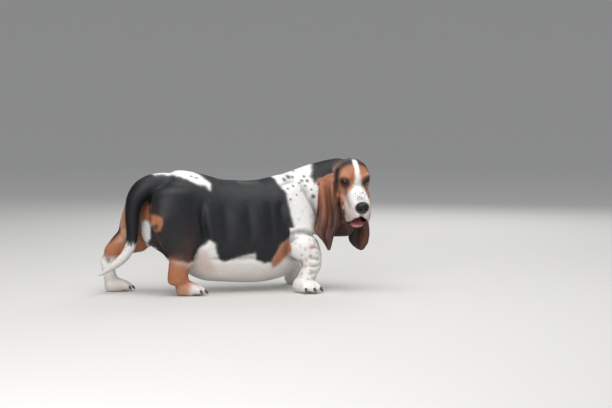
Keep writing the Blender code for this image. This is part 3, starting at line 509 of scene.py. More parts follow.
def ear_middle(rows, across, down):
    """The middle surface of an ear: a straight line from front to back edge in each row, pushed out by
    depth x cos(2 pi (number x place + 0.1)) + belly x sin(pi x place), and in again at each fold by
    depth x exp(-((place - fold) / width)^2), with the direction of that push."""
    row = spline(rows, down)
    u = np.linspace(0, 1, across)[None, :, None]
    front, back = row[:, None, 0:3], row[:, None, 3:6]
    out = np.cross(back - front, np.array([0.0, 0.0, 1.0]))
    out /= np.linalg.norm(out, axis=2)[..., None]
    wave = row[:, None, 6:7] * np.cos(2 * np.pi * (row[:, None, 7:8] * u + 0.1))
    belly = row[:, None, 8:9] * np.sin(np.pi * u)
    along = np.linspace(0, 1, down)[:, None, None]
    turned = np.sign(belly.mean())
    for place, width, depth, start, end in EAR_FOLDS:
        fade = np.clip((along - start) / 0.12, 0, 1) * np.clip((end - along) / 0.12, 0, 1)
        wave = wave - turned * depth * fade * np.exp(-(((u - place) / width) ** 2))
    sheet = front + (back - front) * u + out * (wave + belly)
    normal = np.cross(np.gradient(sheet, axis=0), np.gradient(sheet, axis=1))
    return sheet, normal / np.linalg.norm(normal, axis=2)[..., None]


def ear_form(rows, across=44, down=70):
    """The ear as a closed wall round its middle surface, thicker at the root and thin at its rims."""
    sheet, normal = ear_middle(rows, across, down)
    half = np.full((down, across, 1), EAR_THICK / 2)
    half *= 1 + 0.9 * np.exp(-((np.arange(down) / 13.0) ** 2))[:, None, None]
    place = np.linspace(-1, 1, across)[None, :, None]
    half = half * (0.35 + 0.65 * (1 - place**8))
    half[-3:] *= np.array([0.85, 0.65, 0.4])[:, None, None]
    return closed(np.concatenate([sheet + normal * half, (sheet - normal * half)[:, ::-1]], axis=1))


# %% [markdown]
# ## One skin
# A sculptor would model the animal in clay as one lump. The same is done here: all lofts are melted
# together on a fine grid of cubes, which fills the corners where they cross, and the result is relaxed,
# each point drawn to its neighbours, until thigh, belly and shoulder flow into each other. A boolean
# union would leave a hard line at each crossing. The head and the paws are relaxed less, because their
# forms are small.

# %% Tools on a skin
BODY_VOXEL = 2.0 * MM
SKIN_VOXEL = 1.5 * MM
RELAX = 0.6
RELAX_ROUNDS = 24
RELAX_VOXEL = 3.0 * MM


def points_of(mesh):
    """The mesh's points as rows of three."""
    points = np.empty(len(mesh.vertices) * 3)
    mesh.vertices.foreach_get("co", points)
    return points.reshape(-1, 3)


def normals_of(mesh):
    """The normal at each point."""
    normals = np.empty(len(mesh.vertices) * 3)
    mesh.vertices.foreach_get("normal", normals)
    return normals.reshape(-1, 3)


def edges_of(mesh):
    """The two point numbers of each edge."""
    edges = np.empty(len(mesh.edges) * 2, np.int64)
    mesh.edges.foreach_get("vertices", edges)
    return edges.reshape(-1, 2)


def set_points(mesh, points):
    """The points put back after they have been moved."""
    mesh.vertices.foreach_set("co", np.ascontiguousarray(points, np.float32).ravel())
    mesh.update()


def apply_modifiers(item):
    """The mesh as its modifiers leave it, kept as the object's own."""
    graph = bpy.context.evaluated_depsgraph_get()
    old = item.data
    item.data = bpy.data.meshes.new_from_object(item.evaluated_get(graph))
    item.modifiers.clear()
    bpy.data.meshes.remove(old)


def melted(name, form, voxel):
    """Overlapping closed forms grown into one closed skin on a grid of cubes."""
    item = new_object(name, new_mesh(name, *form))
    melt = item.modifiers.new("melt", "REMESH")
    melt.mode = "VOXEL"
    melt.voxel_size = voxel
    apply_modifiers(item)
    return item


def cut(item, form):
    """A closed form taken out of the skin."""
    tool = new_object("tool", new_mesh("tool", *form))
    boolean = item.modifiers.new("cut", "BOOLEAN")
    boolean.operation = "DIFFERENCE"
    boolean.solver = "MANIFOLD"
    boolean.object = tool
    apply_modifiers(item)
    bpy.data.objects.remove(tool)


def relaxed(points, edges, weight, rounds):
    """Each point moved by its weight towards the mean of its neighbours, `rounds` times."""
    a, b = edges.T
    size = len(points)
    count = np.bincount(np.concatenate([a, b]), minlength=size)[:, None]
    for _ in range(rounds):
        total = np.empty_like(points)
        for k in range(points.shape[1]):
            total[:, k] = np.bincount(a, points[b, k], size) + np.bincount(b, points[a, k], size)
        points = points + weight[:, None] * (total / count - points)
    return points


def relax_rounds(voxel):
    """The rounds that relax over the same length at any cube size: they grow as its inverse square."""
    return round(RELAX_ROUNDS * (RELAX_VOXEL / voxel) ** 2)


def head_places(points):
    """Points of the world in the head's frame, in millimetres: ahead, left, up."""
    return carried(points, HEAD.inverted()) / MM


# %% The body's forms, melted and relaxed
forward = (1, 0, 0)
forms = [
    closed(loft(TORSO, rings=60, sides=64)),
    closed(loft(NECK, rings=30, sides=48, dome=0.4)),
    closed(loft(DEWLAP, sides=28, dome=0.6)),
    closed(loft(TAIL, (-1, 0, 0.6), rings=60, sides=24, dome=0.6)),
    closed(loft(GASKIN_LEFT, dome=0.6)),
    on_head(CRANIUM, 36, 44),
    on_head(MUZZLE, 36, 44),
    on_head(JAW),
]
uprights = (
    THIGH_RIGHT, GASKIN_RIGHT, THIGH_LEFT, METATARSUS_LEFT,
    SHOULDER_RIGHT, FOREARM_RIGHT, SHOULDER_LEFT, FOREARM_LEFT,
)
forms += [closed(loft(rows, forward, rings=28, sides=32, dome=0.6)) for rows in uprights]
for rows in (FLEW, BROW):
    forms += [on_head(rows), on_head(mirrored(rows))]
for paw in PAWS:
    forms.append(in_paw(paw, PALM, sides=28))
    forms += [in_paw(paw, ray_rows(TOE_ARCH, *toe)) for toe in TOES]

skin = melted("skin", together(forms), BODY_VOXEL)
points, edges = points_of(skin.data), edges_of(skin.data)
in_head = head_places(points) * MM
near_head = np.clip((0.16 - np.linalg.norm(in_head - np.array([0, 0, -0.04]), axis=1)) / 0.04, 0, 1)
near_paw = np.clip((0.07 - points[:, 2]) / 0.03, 0, 1)
weight = RELAX * (1 - 0.72 * np.maximum(near_head, near_paw))
points = relaxed(points, edges, weight, relax_rounds(BODY_VOXEL))
set_points(skin.data, points)
print("melted body:", len(points), "points")

# %% [markdown]
# ## Folds and swellings
# Loose skin shows where it folds: at the flank, behind the elbow, at the wrists and under the belly. A
# crease is pressed in along a path on the skin: a narrow groove, exp(-(d / width)^2), with a soft roll of
# skin on both banks, dying away at both ends. A swelling is one rounded hill or hollow.

# %% Brushes
def on_skin(points, path):
    """A path read four times as densely, each point moved to the nearest point of the skin."""
    path = np.array(path, float)
    at = np.linspace(0, len(path) - 1, 4 * len(path))
    dense = np.stack([np.interp(at, np.arange(len(path)), path[:, k]) for k in range(3)], axis=1)
    return np.array([points[np.argmin(((points - p) ** 2).sum(axis=1))] for p in dense])


def distance_to(points, path):
    """Each point's distance to a chain of straight pieces, and how far along the chain that is."""
    best = np.full(len(points), np.inf)
    along = np.zeros(len(points))
    last = len(path) - 1
    for k in range(last):
        step = path[k + 1] - path[k]
        t = np.clip((points - path[k]) @ step / max(step @ step, 1e-12), 0, 1)
        away = np.linalg.norm(points - path[k] - t[:, None] * step, axis=1)
        near = away < best
        best[near] = away[near]
        along[near] = (k + t[near]) / last
    return best, along


def around(points, path, reach):
    """Numbers of the points in the box round a path, widened by the reach."""
    return np.nonzero(((points > path.min(0) - reach) & (points < path.max(0) + reach)).all(axis=1))[0]


def crease(mesh, path, width, depth, roll=0.4):
    """A groove exp(-(d/w)^2) less a bank roll x exp(-(d/w - 2)^2 / 1.4), times the depth and a fade."""
    points, normals = points_of(mesh), normals_of(mesh)
    path = on_skin(points, path)
    local = around(points, path, 5 * width)
    away, along = distance_to(points[local], path)
    away = away / width
    fade = np.sin(np.pi * np.clip(along, 0.02, 0.98)) ** 0.7 * (along > 0) * (along < 1)
    push = (roll * np.exp(-((away - 2.0) ** 2) / 1.4) - np.exp(-(away**2))) * depth * fade
    points[local] += push[:, None] * normals[local]
    set_points(mesh, points)


def swell(mesh, centre, radius, height):
    """A hill of height x exp(-(d / radius)^2) on the skin nearest to the centre."""
    points, normals = points_of(mesh), normals_of(mesh)
    middle = on_skin(points, [centre, centre])[:1]
    local = around(points, middle, 3 * radius)
    away = np.linalg.norm(points[local] - middle[0], axis=1) / radius
    points[local] += (height * np.exp(-(away**2)))[:, None] * normals[local]
    set_points(mesh, points)


def snapped(points, target):
    """Each point moved to the nearest place on the target's surface."""
    loose = bpy.data.meshes.new("points")
    loose.vertices.add(len(points))
    set_points(loose, points)
    item = new_object("points", loose)
    shrink = item.modifiers.new("snap", "SHRINKWRAP")
    shrink.target = target
    shrink.wrap_method = "NEAREST_SURFACEPOINT"
    shrink.wrap_mode = "ON_SURFACE"
    apply_modifiers(item)
    found = points_of(item.data)
    bpy.data.objects.remove(item)
    return found


def finer(mesh, longest):
    """Edges longer than the limit are halved, and the faces cut into triangles, until none is left."""
    for _ in range(5):
        points, edges = points_of(mesh), edges_of(mesh)
        length = np.linalg.norm(points[edges[:, 0]] - points[edges[:, 1]], axis=1)
        long = np.nonzero(length > longest)[0]
        if len(long) == 0:
            break
        shape = bmesh.new()
        shape.from_mesh(mesh)
        shape.edges.ensure_lookup_table()
        bmesh.ops.subdivide_edges(shape, edges=[shape.edges[k] for k in long], cuts=1)
        bmesh.ops.triangulate(shape, faces=shape.faces)
        shape.to_mesh(mesh)
        shape.free()


# %% The folds of the body
FOLDS = (
    ([(-118, -130, 300), (-122, -130, 230), (-112, -130, 170), (-140, -120, 112)], 10, 9),
    ([(-118, 130, 300), (-122, 130, 230), (-112, 130, 170), (-150, 120, 120)], 10, 6),
    ([(140, -120, 160), (165, -130, 182), (200, -130, 190), (238, -120, 174)], 6.5, 9),
    ([(150, 120, 160), (170, 130, 182), (205, 130, 190), (235, 120, 178)], 7, 6),
    ([(-115, -120, 98), (-50, -130, 103), (30, -130, 104), (130, -120, 94)], 9, 3.5),
    ([(-115, 120, 98), (-50, 130, 103), (30, 130, 104), (130, 120, 94)], 9, 3.5),
    ([(196, -160, 112), (222, -160, 106), (258, -150, 106)], 4.5, 7),
    ([(198, -160, 86), (224, -160, 82), (254, -150, 86)], 4.5, 6.5),
    ([(215, 150, 100), (240, 150, 102), (262, 140, 104)], 5, 4),
)
SOFT_FOLDS = (
    ([(-56, -130, 290), (-50, -140, 220), (-46, -130, 140)], 15, 3.8),
    ([(18, -130, 300), (26, -140, 220), (30, -130, 145)], 15, 3.8),
    ([(128, -120, 330), (132, -130, 260), (128, -130, 180)], 11, 3.6),
    ([(90, -130, 300), (100, -140, 230), (96, -130, 150)], 14, 4.2),
    ([(-50, 130, 290), (-44, 140, 220), (-46, 130, 140)], 15, 2.6),
    ([(30, 130, 300), (40, 140, 220), (36, 130, 145)], 15, 2.4),
    ([(205, -150, 140), (235, -150, 142), (262, -140, 134)], 5, 5.0),
    ([(196, -170, 62), (215, -170, 62), (240, -160, 66)], 4, 4.5),
    ([(222, 150, 78), (246, 150, 80), (268, 140, 82)], 4, 2.2),
    ([(-205, -140, 98), (-180, -140, 92), (-156, -130, 96)], 5, 2.5),
    ([(330, -60, 280), (328, -50, 220), (318, -40, 175)], 8, 3.5),
    ([(352, -100, 290), (356, -90, 225), (350, -80, 175)], 7, 3.5),
    ([(300, -90, 270), (290, -80, 215), (275, -60, 170)], 9, 3.0),
    ([(300, 50, 300), (296, 50, 240), (280, 50, 180)], 9, 3.0),
)
SWELLINGS = (
    ((-252, -110, 236), 22, 5),
    ((-268, -85, 217), 15, 9),
    ((-262, -98, 196), 8, -6),
    ((-375, 70, 100), 12, -5),
    ((205, -150, 122), 20, 2.5),
    ((-170, -130, 150), 18, 2.0),
)
for path, width, depth in FOLDS + SOFT_FOLDS:
    crease(skin.data, np.array(path) / 1000, width * MM, depth * MM)
for centre, radius, height in SWELLINGS:
    swell(skin.data, np.array(centre) / 1000, radius * MM, height * MM)
points = relaxed(points_of(skin.data), edges, 0.5 * weight, relax_rounds(BODY_VOXEL) // 6)
set_points(skin.data, points)
print("folds pressed:", len(FOLDS + SOFT_FOLDS))

# %% [markdown]
# ## The face
# The wrinkles of a basset's face run where its loose skin is pulled down: over the brow, under the eye,
# in front of the ear, down the cheek and behind the flew. They are the same brush at a smaller size.
# The mouth is an upside-down V between the flews, cut out as a closed form, and the eye sockets are
# spheres a little larger than the eyes. Lids are rolls of skin laid round each opening on the eyeball,
# high above, low below, which is what makes the look of the breed.

# %% Wrinkles of the head, in its own frame
FACE_FOLDS = (
    ([(28, -46, -54), (25, -45, -76), (21, -42, -96), (19, -38, -116)], 5.0, 8.0),
    ([(-18, -60, -50), (-18, -60, -76), (-18, -54, -98), (-18, -44, -120)], 4.5, 3.5),
    ([(-2, -52, -44), (-2, -52, -64), (0, -50, -84), (2, -46, -104)], 4.0, 2.0),
    ([(-50, -54, 18), (-50, -57, -4), (-48, -58, -28), (-44, -58, -54)], 5.5, 4.0),
    ([(0, -14, 25), (-4, -28, 33), (-12, -44, 27)], 3.6, 2.0),
    ([(-16, -12, 42), (-20, -28, 47), (-28, -42, 40)], 4.5, 1.4),
    ([(8, -12, -4), (3, -11, 14), (-10, -9, 34)], 4.0, 1.8),
    ([(6, -20, -21), (3, -34, -25), (-6, -47, -16)], 3.0, 1.8),
    ([(16, -24, -30), (12, -38, -36), (2, -50, -30)], 4.0, 1.4),
)
MIDDLE_FOLDS = (
    ([(2, 0, 8), (-20, 0, 38), (-56, 0, 46)], 8.0, 1.6),
)
FACE_SWELLINGS = (
    ((-4, -35, 25), 10, 1.5),
    ((-6, -50, -52), 17, 3.0),
    ((88, -26, -52), 15, 2.0),
    ((58, -36, -92), 16, 1.5),
    ((8, -34, -17), 6, 1.4),
    ((-60, -30, 44), 22, 1.5),
    ((-104, -30, 36), 24, 3.0),
)


def other_side(path):
    """The same path on the other half of the face."""
    return [(a, -left, up) for a, left, up in path]


def from_head(path):
    """Millimetres in the head's frame as points of the world."""
    return carried(np.array(path, float) * MM, HEAD)


for path, width, depth in FACE_FOLDS:
    crease(skin.data, from_head(path), width * MM, depth * MM)
    crease(skin.data, from_head(other_side(path)), width * MM, depth * MM)
for path, width, depth in MIDDLE_FOLDS:
    crease(skin.data, from_head(path), width * MM, depth * MM, roll=0.2)
for centre, radius, height in FACE_SWELLINGS:
    for place in ([centre], other_side([centre])):
        swell(skin.data, from_head(place)[0], radius * MM, height * MM)


# %% Sockets, mouth, lids and ears
def ball(radius, matrix, rings=24, sides=32):
    """A sphere: sin(latitude) along the axis, cos(latitude) round it, with the poles along x."""
    lat = np.linspace(-np.pi / 2, np.pi / 2, rings + 2)[1:-1]
    phi = np.linspace(0, 2 * np.pi, sides, endpoint=False)
    x = np.broadcast_to(np.sin(lat)[:, None], (len(lat), sides))
    grid = np.stack([x, np.outer(np.cos(lat), np.sin(phi)), -np.outer(np.cos(lat), np.cos(phi))], -1)
    points, quads, tris = closed(radius * grid)
    points[-2:] = radius * np.array([(-1, 0, 0), (1, 0, 0)])
    return outward(carried(points, matrix), quads, tris, matrix)


def outward(points, quads, tris, matrix):
    """Faces turned round where the matrix mirrors them."""
    if matrix.determinant() < 0:
        quads, tris = quads[:, ::-1], tris[:, ::-1]
    return points, quads, tris


def lid_form(side, steps=48, sides=12):
    """The rim of both lids: a roll round the opening on the eyeball. The opening's half angle is 66
    degrees at the corners, 20 less above and 3 more below; the roll is thicker above."""
    t = np.linspace(0.0, 2 * np.pi, steps, endpoint=False)
    rise = np.sin(t)
    angle = np.radians(66 - 20 * np.maximum(rise, 0) + 3 * np.maximum(-rise, 0))
    reach = EYE_RADIUS + (0.9 + 0.5 * np.maximum(-rise, 0)) * MM
    path = reach[:, None] * np.stack([np.cos(angle), np.sin(angle) * np.cos(t), np.sin(angle) * rise], 1)
    away = path - np.array([0.6 * EYE_RADIUS, 0.0, 0.0])
    away /= np.linalg.norm(away, axis=1)[:, None]
    along = np.roll(path, -1, 0) - np.roll(path, 1, 0)
    along /= np.linalg.norm(along, axis=1)[:, None]
    across = np.cross(along, away)
    phi = np.linspace(0.0, 2 * np.pi, sides, endpoint=False)
    radius = (2.3 + 0.6 * np.maximum(rise, 0))[:, None, None] * MM
    ring = np.cos(phi)[:, None] * away[:, None] + np.sin(phi)[:, None] * across[:, None]
    index = np.arange(steps * sides).reshape(steps, sides)
    ahead = np.roll(index, -1, 0)
    quads = np.stack([index, np.roll(index, -1, 1), np.roll(ahead, -1, 1), ahead], -1).reshape(-1, 4)
    matrix = eye_matrix(side)
    points = carried((path[:, None] + radius * ring).reshape(-1, 3), matrix)
    return outward(points, quads[:, ::-1], np.empty((0, 3), np.int64), matrix)


def mesh_form(mesh):
    """A mesh as points and three-cornered faces."""
    mesh.calc_loop_triangles()
    tris = np.empty(len(mesh.loop_triangles) * 3, np.int64)
    mesh.loop_triangles.foreach_get("vertices", tris)
    return points_of(mesh), np.empty((0, 4), np.int64), tris.reshape(-1, 3)


cut(skin, on_head(MOUTH, 16, 32))
for side in (-1, 1):
    cut(skin, ball(EYE_RADIUS + 0.4 * MM, eye_matrix(side)))
ears = [ear_form(EAR_RIGHT), ear_form(EAR_LEFT)]
whole = together([mesh_form(skin.data), lid_form(-1), lid_form(1), *ears])
bpy.data.objects.remove(skin)
skin = melted("skin", whole, SKIN_VOXEL)
print("skin with lids and ears:", len(skin.data.vertices), "points")

# %% [markdown]
# ## Last relaxing, flat soles and fewer faces
# The grid of cubes leaves small steps, which a few rounds take out. The ears' roots are relaxed more, so
# that they grow out of the head, and lids and lips less. The whole skin is then drawn in by the depth of
# the coat, the soles are pressed flat on the floor, and the faces are thinned to under 200,000, fewer on
# the plain trunk than on the head, ears and paws.

# %% Relax, draw in, flatten and thin
COAT_DEPTH = 0.9 * MM
SKIN_FACES = 145_000
SKIN_EDGE = 9.5 * MM
EAR_SHEETS = {"right": ear_middle(EAR_RIGHT, 24, 48), "left": ear_middle(EAR_LEFT, 24, 48)}


def nearest(points, targets, reach):
    """For each point the distance to the nearest target and that target's number; points further than
    the reach from the targets' box are left at infinity."""
    best = np.full(len(points), np.inf)
    which = np.zeros(len(points), np.int64)
    local = around(points, targets, reach)
    for start in range(0, len(local), 20000):
        some = local[start : start + 20000]
        gap = np.linalg.norm(points[some, None] - targets[None], axis=2)
        which[some] = gap.argmin(axis=1)
        best[some] = gap.min(axis=1)
    return best, which


points, edges = points_of(skin.data), edges_of(skin.data)
places = head_places(points)
small = np.exp(-(((places - np.array([100, 0, -85])) / 45) ** 2).sum(axis=1))
for side in (-1, 1):
    small = np.maximum(small, np.exp(-(((places - np.array([4, side * 34, 0])) / 16) ** 2).sum(axis=1)))
weight = 0.5 * (1 - 0.6 * small)
points = relaxed(points, edges, weight, max(3, round(7 * (1.5 * MM / SKIN_VOXEL) ** 2)))
for sheet, _ in EAR_SHEETS.values():
    root = sheet[:5].reshape(-1, 3)
    gap, _ = nearest(points, root, 30 * MM)
    points = relaxed(points, edges, 0.6 * np.exp(-((gap / (11 * MM)) ** 2)), relax_rounds(SKIN_VOXEL) // 3)
set_points(skin.data, points)
points = points - COAT_DEPTH * normals_of(skin.data)
points[:, 2] = np.maximum(points[:, 2], 0.4 * MM)
set_points(skin.data, points)

places = head_places(points)
in_face = np.clip((150 - np.linalg.norm(places - np.array([20, 0, -50]), axis=1)) / 40, 0, 1)
in_paws = np.clip((0.06 - points[:, 2]) / 0.02, 0, 1)
plain = 1 - 0.85 * np.maximum(in_face, in_paws)
group = skin.vertex_groups.new(name="plain")
for level in np.unique(np.round(plain, 1)):
    group.add(np.nonzero(np.round(plain, 1) == level)[0].tolist(), float(level), "REPLACE")
faces = sum(len(face.vertices) - 2 for face in skin.data.polygons)
dense = new_object("dense", skin.data.copy())
thin = skin.modifiers.new("thin", "DECIMATE")
thin.ratio = min(1.0, SKIN_FACES / faces)
thin.vertex_group = "plain"
thin.vertex_group_factor = 1.0
apply_modifiers(skin)
skin.vertex_groups.clear()
print("skin:", faces, "faces thinned to", len(skin.data.polygons))
finer(skin.data, SKIN_EDGE)
set_points(skin.data, snapped(points_of(skin.data), dense))
bpy.data.objects.remove(dense)
print("no edge over", round(SKIN_EDGE / MM, 1), "mm:", len(skin.data.polygons), "faces")

# %% [markdown]
# ## Where on the animal, and which way the hair lies
# Hair lies away from the nose, back along the trunk, down the legs, the tail and the ears. Combing it by
# hand is how a groomer in a modelling program would do it; here the lofts' own middle lines do it. The
# lines near a point lend it their direction, the nearer the more, and the nearest one names its region.

# %% Middle lines with their radii
def line(*tables):
    """The middles and the mean reaches of one or more tables of stations, one after another."""
    rows = np.array([row for table in tables for row in table], float)
    return rows[:, :3], rows[:, 3:7].mean(axis=1)


def on_head_line(rows):
    """The same of a table given on the head, carried to the world."""
    path, radius = line(in_metres(hung(rows)))
    return carried(path, HEAD), radius


def leg_line(paw, *tables):
    """A leg's line, ending in the paw's middle toe."""
    place, turn, size = PAWS[paw]
    ahead = np.array([math.cos(math.radians(turn)), math.sin(math.radians(turn)), 0.0])
    path, radius = line(*tables)
    foot = np.array(place) + np.array([0, 0, 0.02])
    path = np.concatenate([path, [foot + 0.01 * ahead, foot + 0.06 * size * ahead]])
    return path, np.concatenate([radius, [0.03, 0.03]])


LINES = {
    "trunk": line(NECK[::-1][1:], TORSO[1:9][::-1]),
    "throat": line(DEWLAP[::-1]),
    "tail": line(TAIL[3:]),
    "hind_right": leg_line("hind_right", THIGH_RIGHT[1:4], GASKIN_RIGHT[1:]),
    "hind_left": leg_line("hind_left", THIGH_LEFT[1:3], GASKIN_LEFT[1:3], METATARSUS_LEFT[1:]),
    "fore_right": leg_line("fore_right", SHOULDER_RIGHT[1:3], FOREARM_RIGHT[1:]),
    "fore_left": leg_line("fore_left", SHOULDER_LEFT[1:3], FOREARM_LEFT[1:]),
    "head": on_head_line(MUZZLE[::-1][1:5] + CRANIUM[::-1][1:]),
}
REGIONS = [*LINES, "ear_right", "ear_left"]
NOSE_TIP = from_head([(114, 0, -36)])[0]
DROP = {"trunk": 0.45, "throat": 0.5, **dict.fromkeys(PAWS, 0.1)}
EAR_REACH = 8.0 * MM


def unit(vectors):
    """Each row at length one."""
    return vectors / np.maximum(np.linalg.norm(vectors, axis=1), 1e-9)[:, None]


def in_head_zone(points):
    """True ahead of the skull's back, between the cheeks and above the chin."""
    ahead, left, up = head_places(points).T
    back = np.interp(left, [-70, -40, 40, 70], [-52, -72, -90, -70])
    return (ahead > back) & (np.abs(left) < 68) & (up > -134) & (up < 70)


def whereabouts(points, normals):
    """For each point: its region, how far along the region's line it is and its turn round that line,
    both from 0 to 1, and the way its hair lies. A line's pull is exp(-6 (distance / radius - least))."""
    near, alongs, ways, turns = [], [], [], []
    for name, (path, radius) in LINES.items():
        away, along = distance_to(points, path)
        place = along * (len(path) - 1)
        step = unit(np.diff(path, axis=0))
        number = np.minimum(place.astype(int), len(path) - 2)
        foot = path[number] + (place - number)[:, None] * (path[number + 1] - path[number])
        way = step[number].copy()
        if name == "head":
            way = unit(points - NOSE_TIP)
        side = np.abs(normals[:, 1]) * (normals[:, 2] > -0.4)
        way[:, 2] -= DROP.get(name, 0.0) * side
        up = np.where(np.abs(step[number][:, 2:3]) > 0.7, [[1.0, 0.0, 0.0]], [[0.0, 0.0, 1.0]])
        up = unit(up - (up * step[number]).sum(axis=1)[:, None] * step[number])
        offset = points - foot
        aside = np.cross(step[number], up)
        turns.append(np.arctan2((offset * aside).sum(axis=1), (offset * up).sum(axis=1)) / (2 * np.pi) + 0.5)
        reach = np.interp(place, np.arange(len(path)), radius)
        share = away / reach
        if name == "head":
            share[in_head_zone(points)] = 0.0
        if name == "tail":
            share[(away < 1.15 * reach) & (points[:, 2] < 0.300)] = 0.0
        near.append(share)
        alongs.append(along)
        ways.append(way)
    near = np.array(near)
    pull = np.exp(-6 * (near - near.min(axis=0)))
    way = (pull[..., None] * np.array(ways)).sum(axis=0)
    region = near.argmin(axis=0)
    pick = np.arange(len(points))
    along, turn = np.array(alongs)[region, pick], np.array(turns)[region, pick]
    for name, (sheet, out) in EAR_SHEETS.items():
        gap, which = nearest(points, sheet.reshape(-1, 3), EAR_REACH)
        mine = gap < EAR_REACH
        down, across = np.divmod(which[mine], sheet.shape[1])
        flow = np.gradient(sheet, axis=0).reshape(-1, 3)
        outside = (normals[mine] * out.reshape(-1, 3)[which[mine]]).sum(axis=1) > 0
        region[mine] = REGIONS.index("ear_" + name)
        along[mine] = down / (sheet.shape[0] - 1)
        turn[mine] = (across / (sheet.shape[1] - 1) * 0.98 + outside) / 2
        way[mine] = unit(flow[which[mine]])
    way = unit(way - (way * normals).sum(axis=1)[:, None] * normals)
    return region, along, turn, way


# %% [markdown]
# ## Markings
# Some patches are painted shade, in folds and hollows and under the jaw, and some are painted light, on the
# brow and the far thigh.
# The tricolour pattern is a stack of patches on a white coat: saddle, tan legs, nape, crown and mask.
# Painting them as an image would need a map for every piece. A formula needs none: each patch is an
# outline with its edge broken up by smooth random values, and skin and tufts ask the same formula, so
# they always agree. An outline lies in one of three flat views. From the side, a patch is the same left
# and right. From the front of the face it is the mask. And some are given as the eye at the photograph's
# own place has them, in millimetres right and up of the animal's origin. That view is worked out here
# from fixed numbers, so the patches stay on the body whatever camera looks at it.

# %% The view that the outlines were measured in
AZIMUTH, ELEVATION = math.radians(-20.0), math.radians(4.0)
DISTANCE = 7.0
FOCAL_PIXELS = 2236.0
PHOTO_WIDTH, PHOTO_HEIGHT = 612, 408
ANCHOR_PIXEL = (230.0, 290.0)
VIEW_LEVEL = np.array([math.sin(AZIMUTH), -math.cos(AZIMUTH), 0.0])
VIEW_BACK = math.cos(ELEVATION) * VIEW_LEVEL + math.sin(ELEVATION) * np.array([0.0, 0.0, 1.0])
VIEW_RIGHT = np.array([math.cos(AZIMUTH), math.sin(AZIMUTH), 0.0])
VIEW_UP = np.cross(VIEW_BACK, VIEW_RIGHT)
ASIDE = (PHOTO_WIDTH / 2 - ANCHOR_PIXEL[0]) * DISTANCE / FOCAL_PIXELS
ABOVE = (ANCHOR_PIXEL[1] - PHOTO_HEIGHT / 2) * DISTANCE / FOCAL_PIXELS
VIEWPOINT = VIEW_RIGHT * ASIDE + VIEW_UP * ABOVE + VIEW_BACK * DISTANCE


def flat_seen(points):
    """Millimetres right and up on a plane through the animal's origin that faces the viewpoint, where
    the line from the viewpoint to each point crosses it."""
    away = points - VIEWPOINT
    scale = DISTANCE / -(away @ VIEW_BACK)
    return np.stack([ASIDE + scale * (away @ VIEW_RIGHT), ABOVE + scale * (away @ VIEW_UP)], 1) / MM


def near_line(flat, path, width):
    """exp(-(distance / width)^2) from a bent line in the plane."""
    flat, path = np.array(flat), np.array(path, float)
    away, _ = distance_to(np.pad(flat, ((0, 0), (0, 1))), np.pad(path, ((0, 0), (0, 1))))
    return np.exp(-((away / width) ** 2))


# %% Random values and outlines
def cloud(points, size, seed):
    """Smooth random values from -1 to 1. Each corner of a grid of cubes has a value from a hash of its
    place, and a point takes the mix 3t^2 - 2t^3 of its cube's eight corners."""
    place = points / size
    cell = np.floor(place).astype(np.int64)
    t = place - cell
    t = t * t * (3 - 2 * t)
    total = np.zeros(len(points))
    for corner in range(8):
        bit = np.array([corner & 1, corner >> 1 & 1, corner >> 2 & 1])
        key = (cell + bit) @ np.array([374761393, 668265263, 1274126177]) + seed * 974634777
        key = (key ^ (key >> 13)) * 1103515245
        key = (key ^ (key >> 16)) & 0xFFFFFF
        total += np.prod(np.where(bit, t, 1 - t), axis=1) * (key / 0x7FFFFF - 1)
    return total


def outside_by(flat, outline):
    """Distance from a closed outline in the plane, negative inside it."""
    outline = np.array(outline, float)
    inside = np.zeros(len(flat), bool)
    best = np.full(len(flat), np.inf)
    for a, b in zip(outline, np.roll(outline, -1, axis=0)):
        step = b - a
        t = np.clip((flat - a) @ step / max(step @ step, 1e-12), 0, 1)
        best = np.minimum(best, np.linalg.norm(flat - a - t[:, None] * step, axis=1))
        if step[1] != 0:
            crosses = (a[1] > flat[:, 1]) != (b[1] > flat[:, 1])
            inside ^= crosses & (flat[:, 0] < a[0] + (flat[:, 1] - a[1]) / step[1] * step[0])
    return np.where(inside, -best, best)


def soft(distance, width):
    """1 well inside, 0 well outside, with half of the change over the width."""
    return 1 / (1 + np.exp(np.clip(distance / (0.5 * width), -40, 40)))


def within(flat, outline, width):
    """1 inside an outline in the plane and 0 outside it, with an edge of this width."""
    return soft(outside_by(flat, outline), width)


def wander(points, broad, fine, seeds, step):
    """Two random values a point, which push an outline about. Each is a broad wave and a fine one, given
    by their sizes and heights, and they make the tongues of hair at a patch's edge."""
    (size, high), (small, low) = broad, fine
    return np.stack([cloud(points, size, k) * high + cloud(points, small, k + step) * low for k in seeds], 1)


def painted(colour, mask, patch):
    """The patch's colour laid over the other by the mask: colour + mask x (patch - colour)."""
    return colour + mask[:, None] * (np.array(patch) - colour)


def layered(colour, layers):
    """Several patches, each a mask and a colour, laid on one after another."""
    for mask, patch in layers:
        colour = painted(colour, mask, patch)
    return colour


def spots(points, centres, radii, stretch=1.0):
    """The largest of exp(-(distance / radius)^4) over the spots, each a dark disc with a soft rim."""
    mask = np.zeros(len(points))
    for centre, radius in zip(centres, radii):
        away = np.linalg.norm((points - np.array(centre)) * np.array(stretch), axis=1) / radius
        mask = np.maximum(mask, np.exp(-np.minimum(away, 5) ** 4))
    return mask


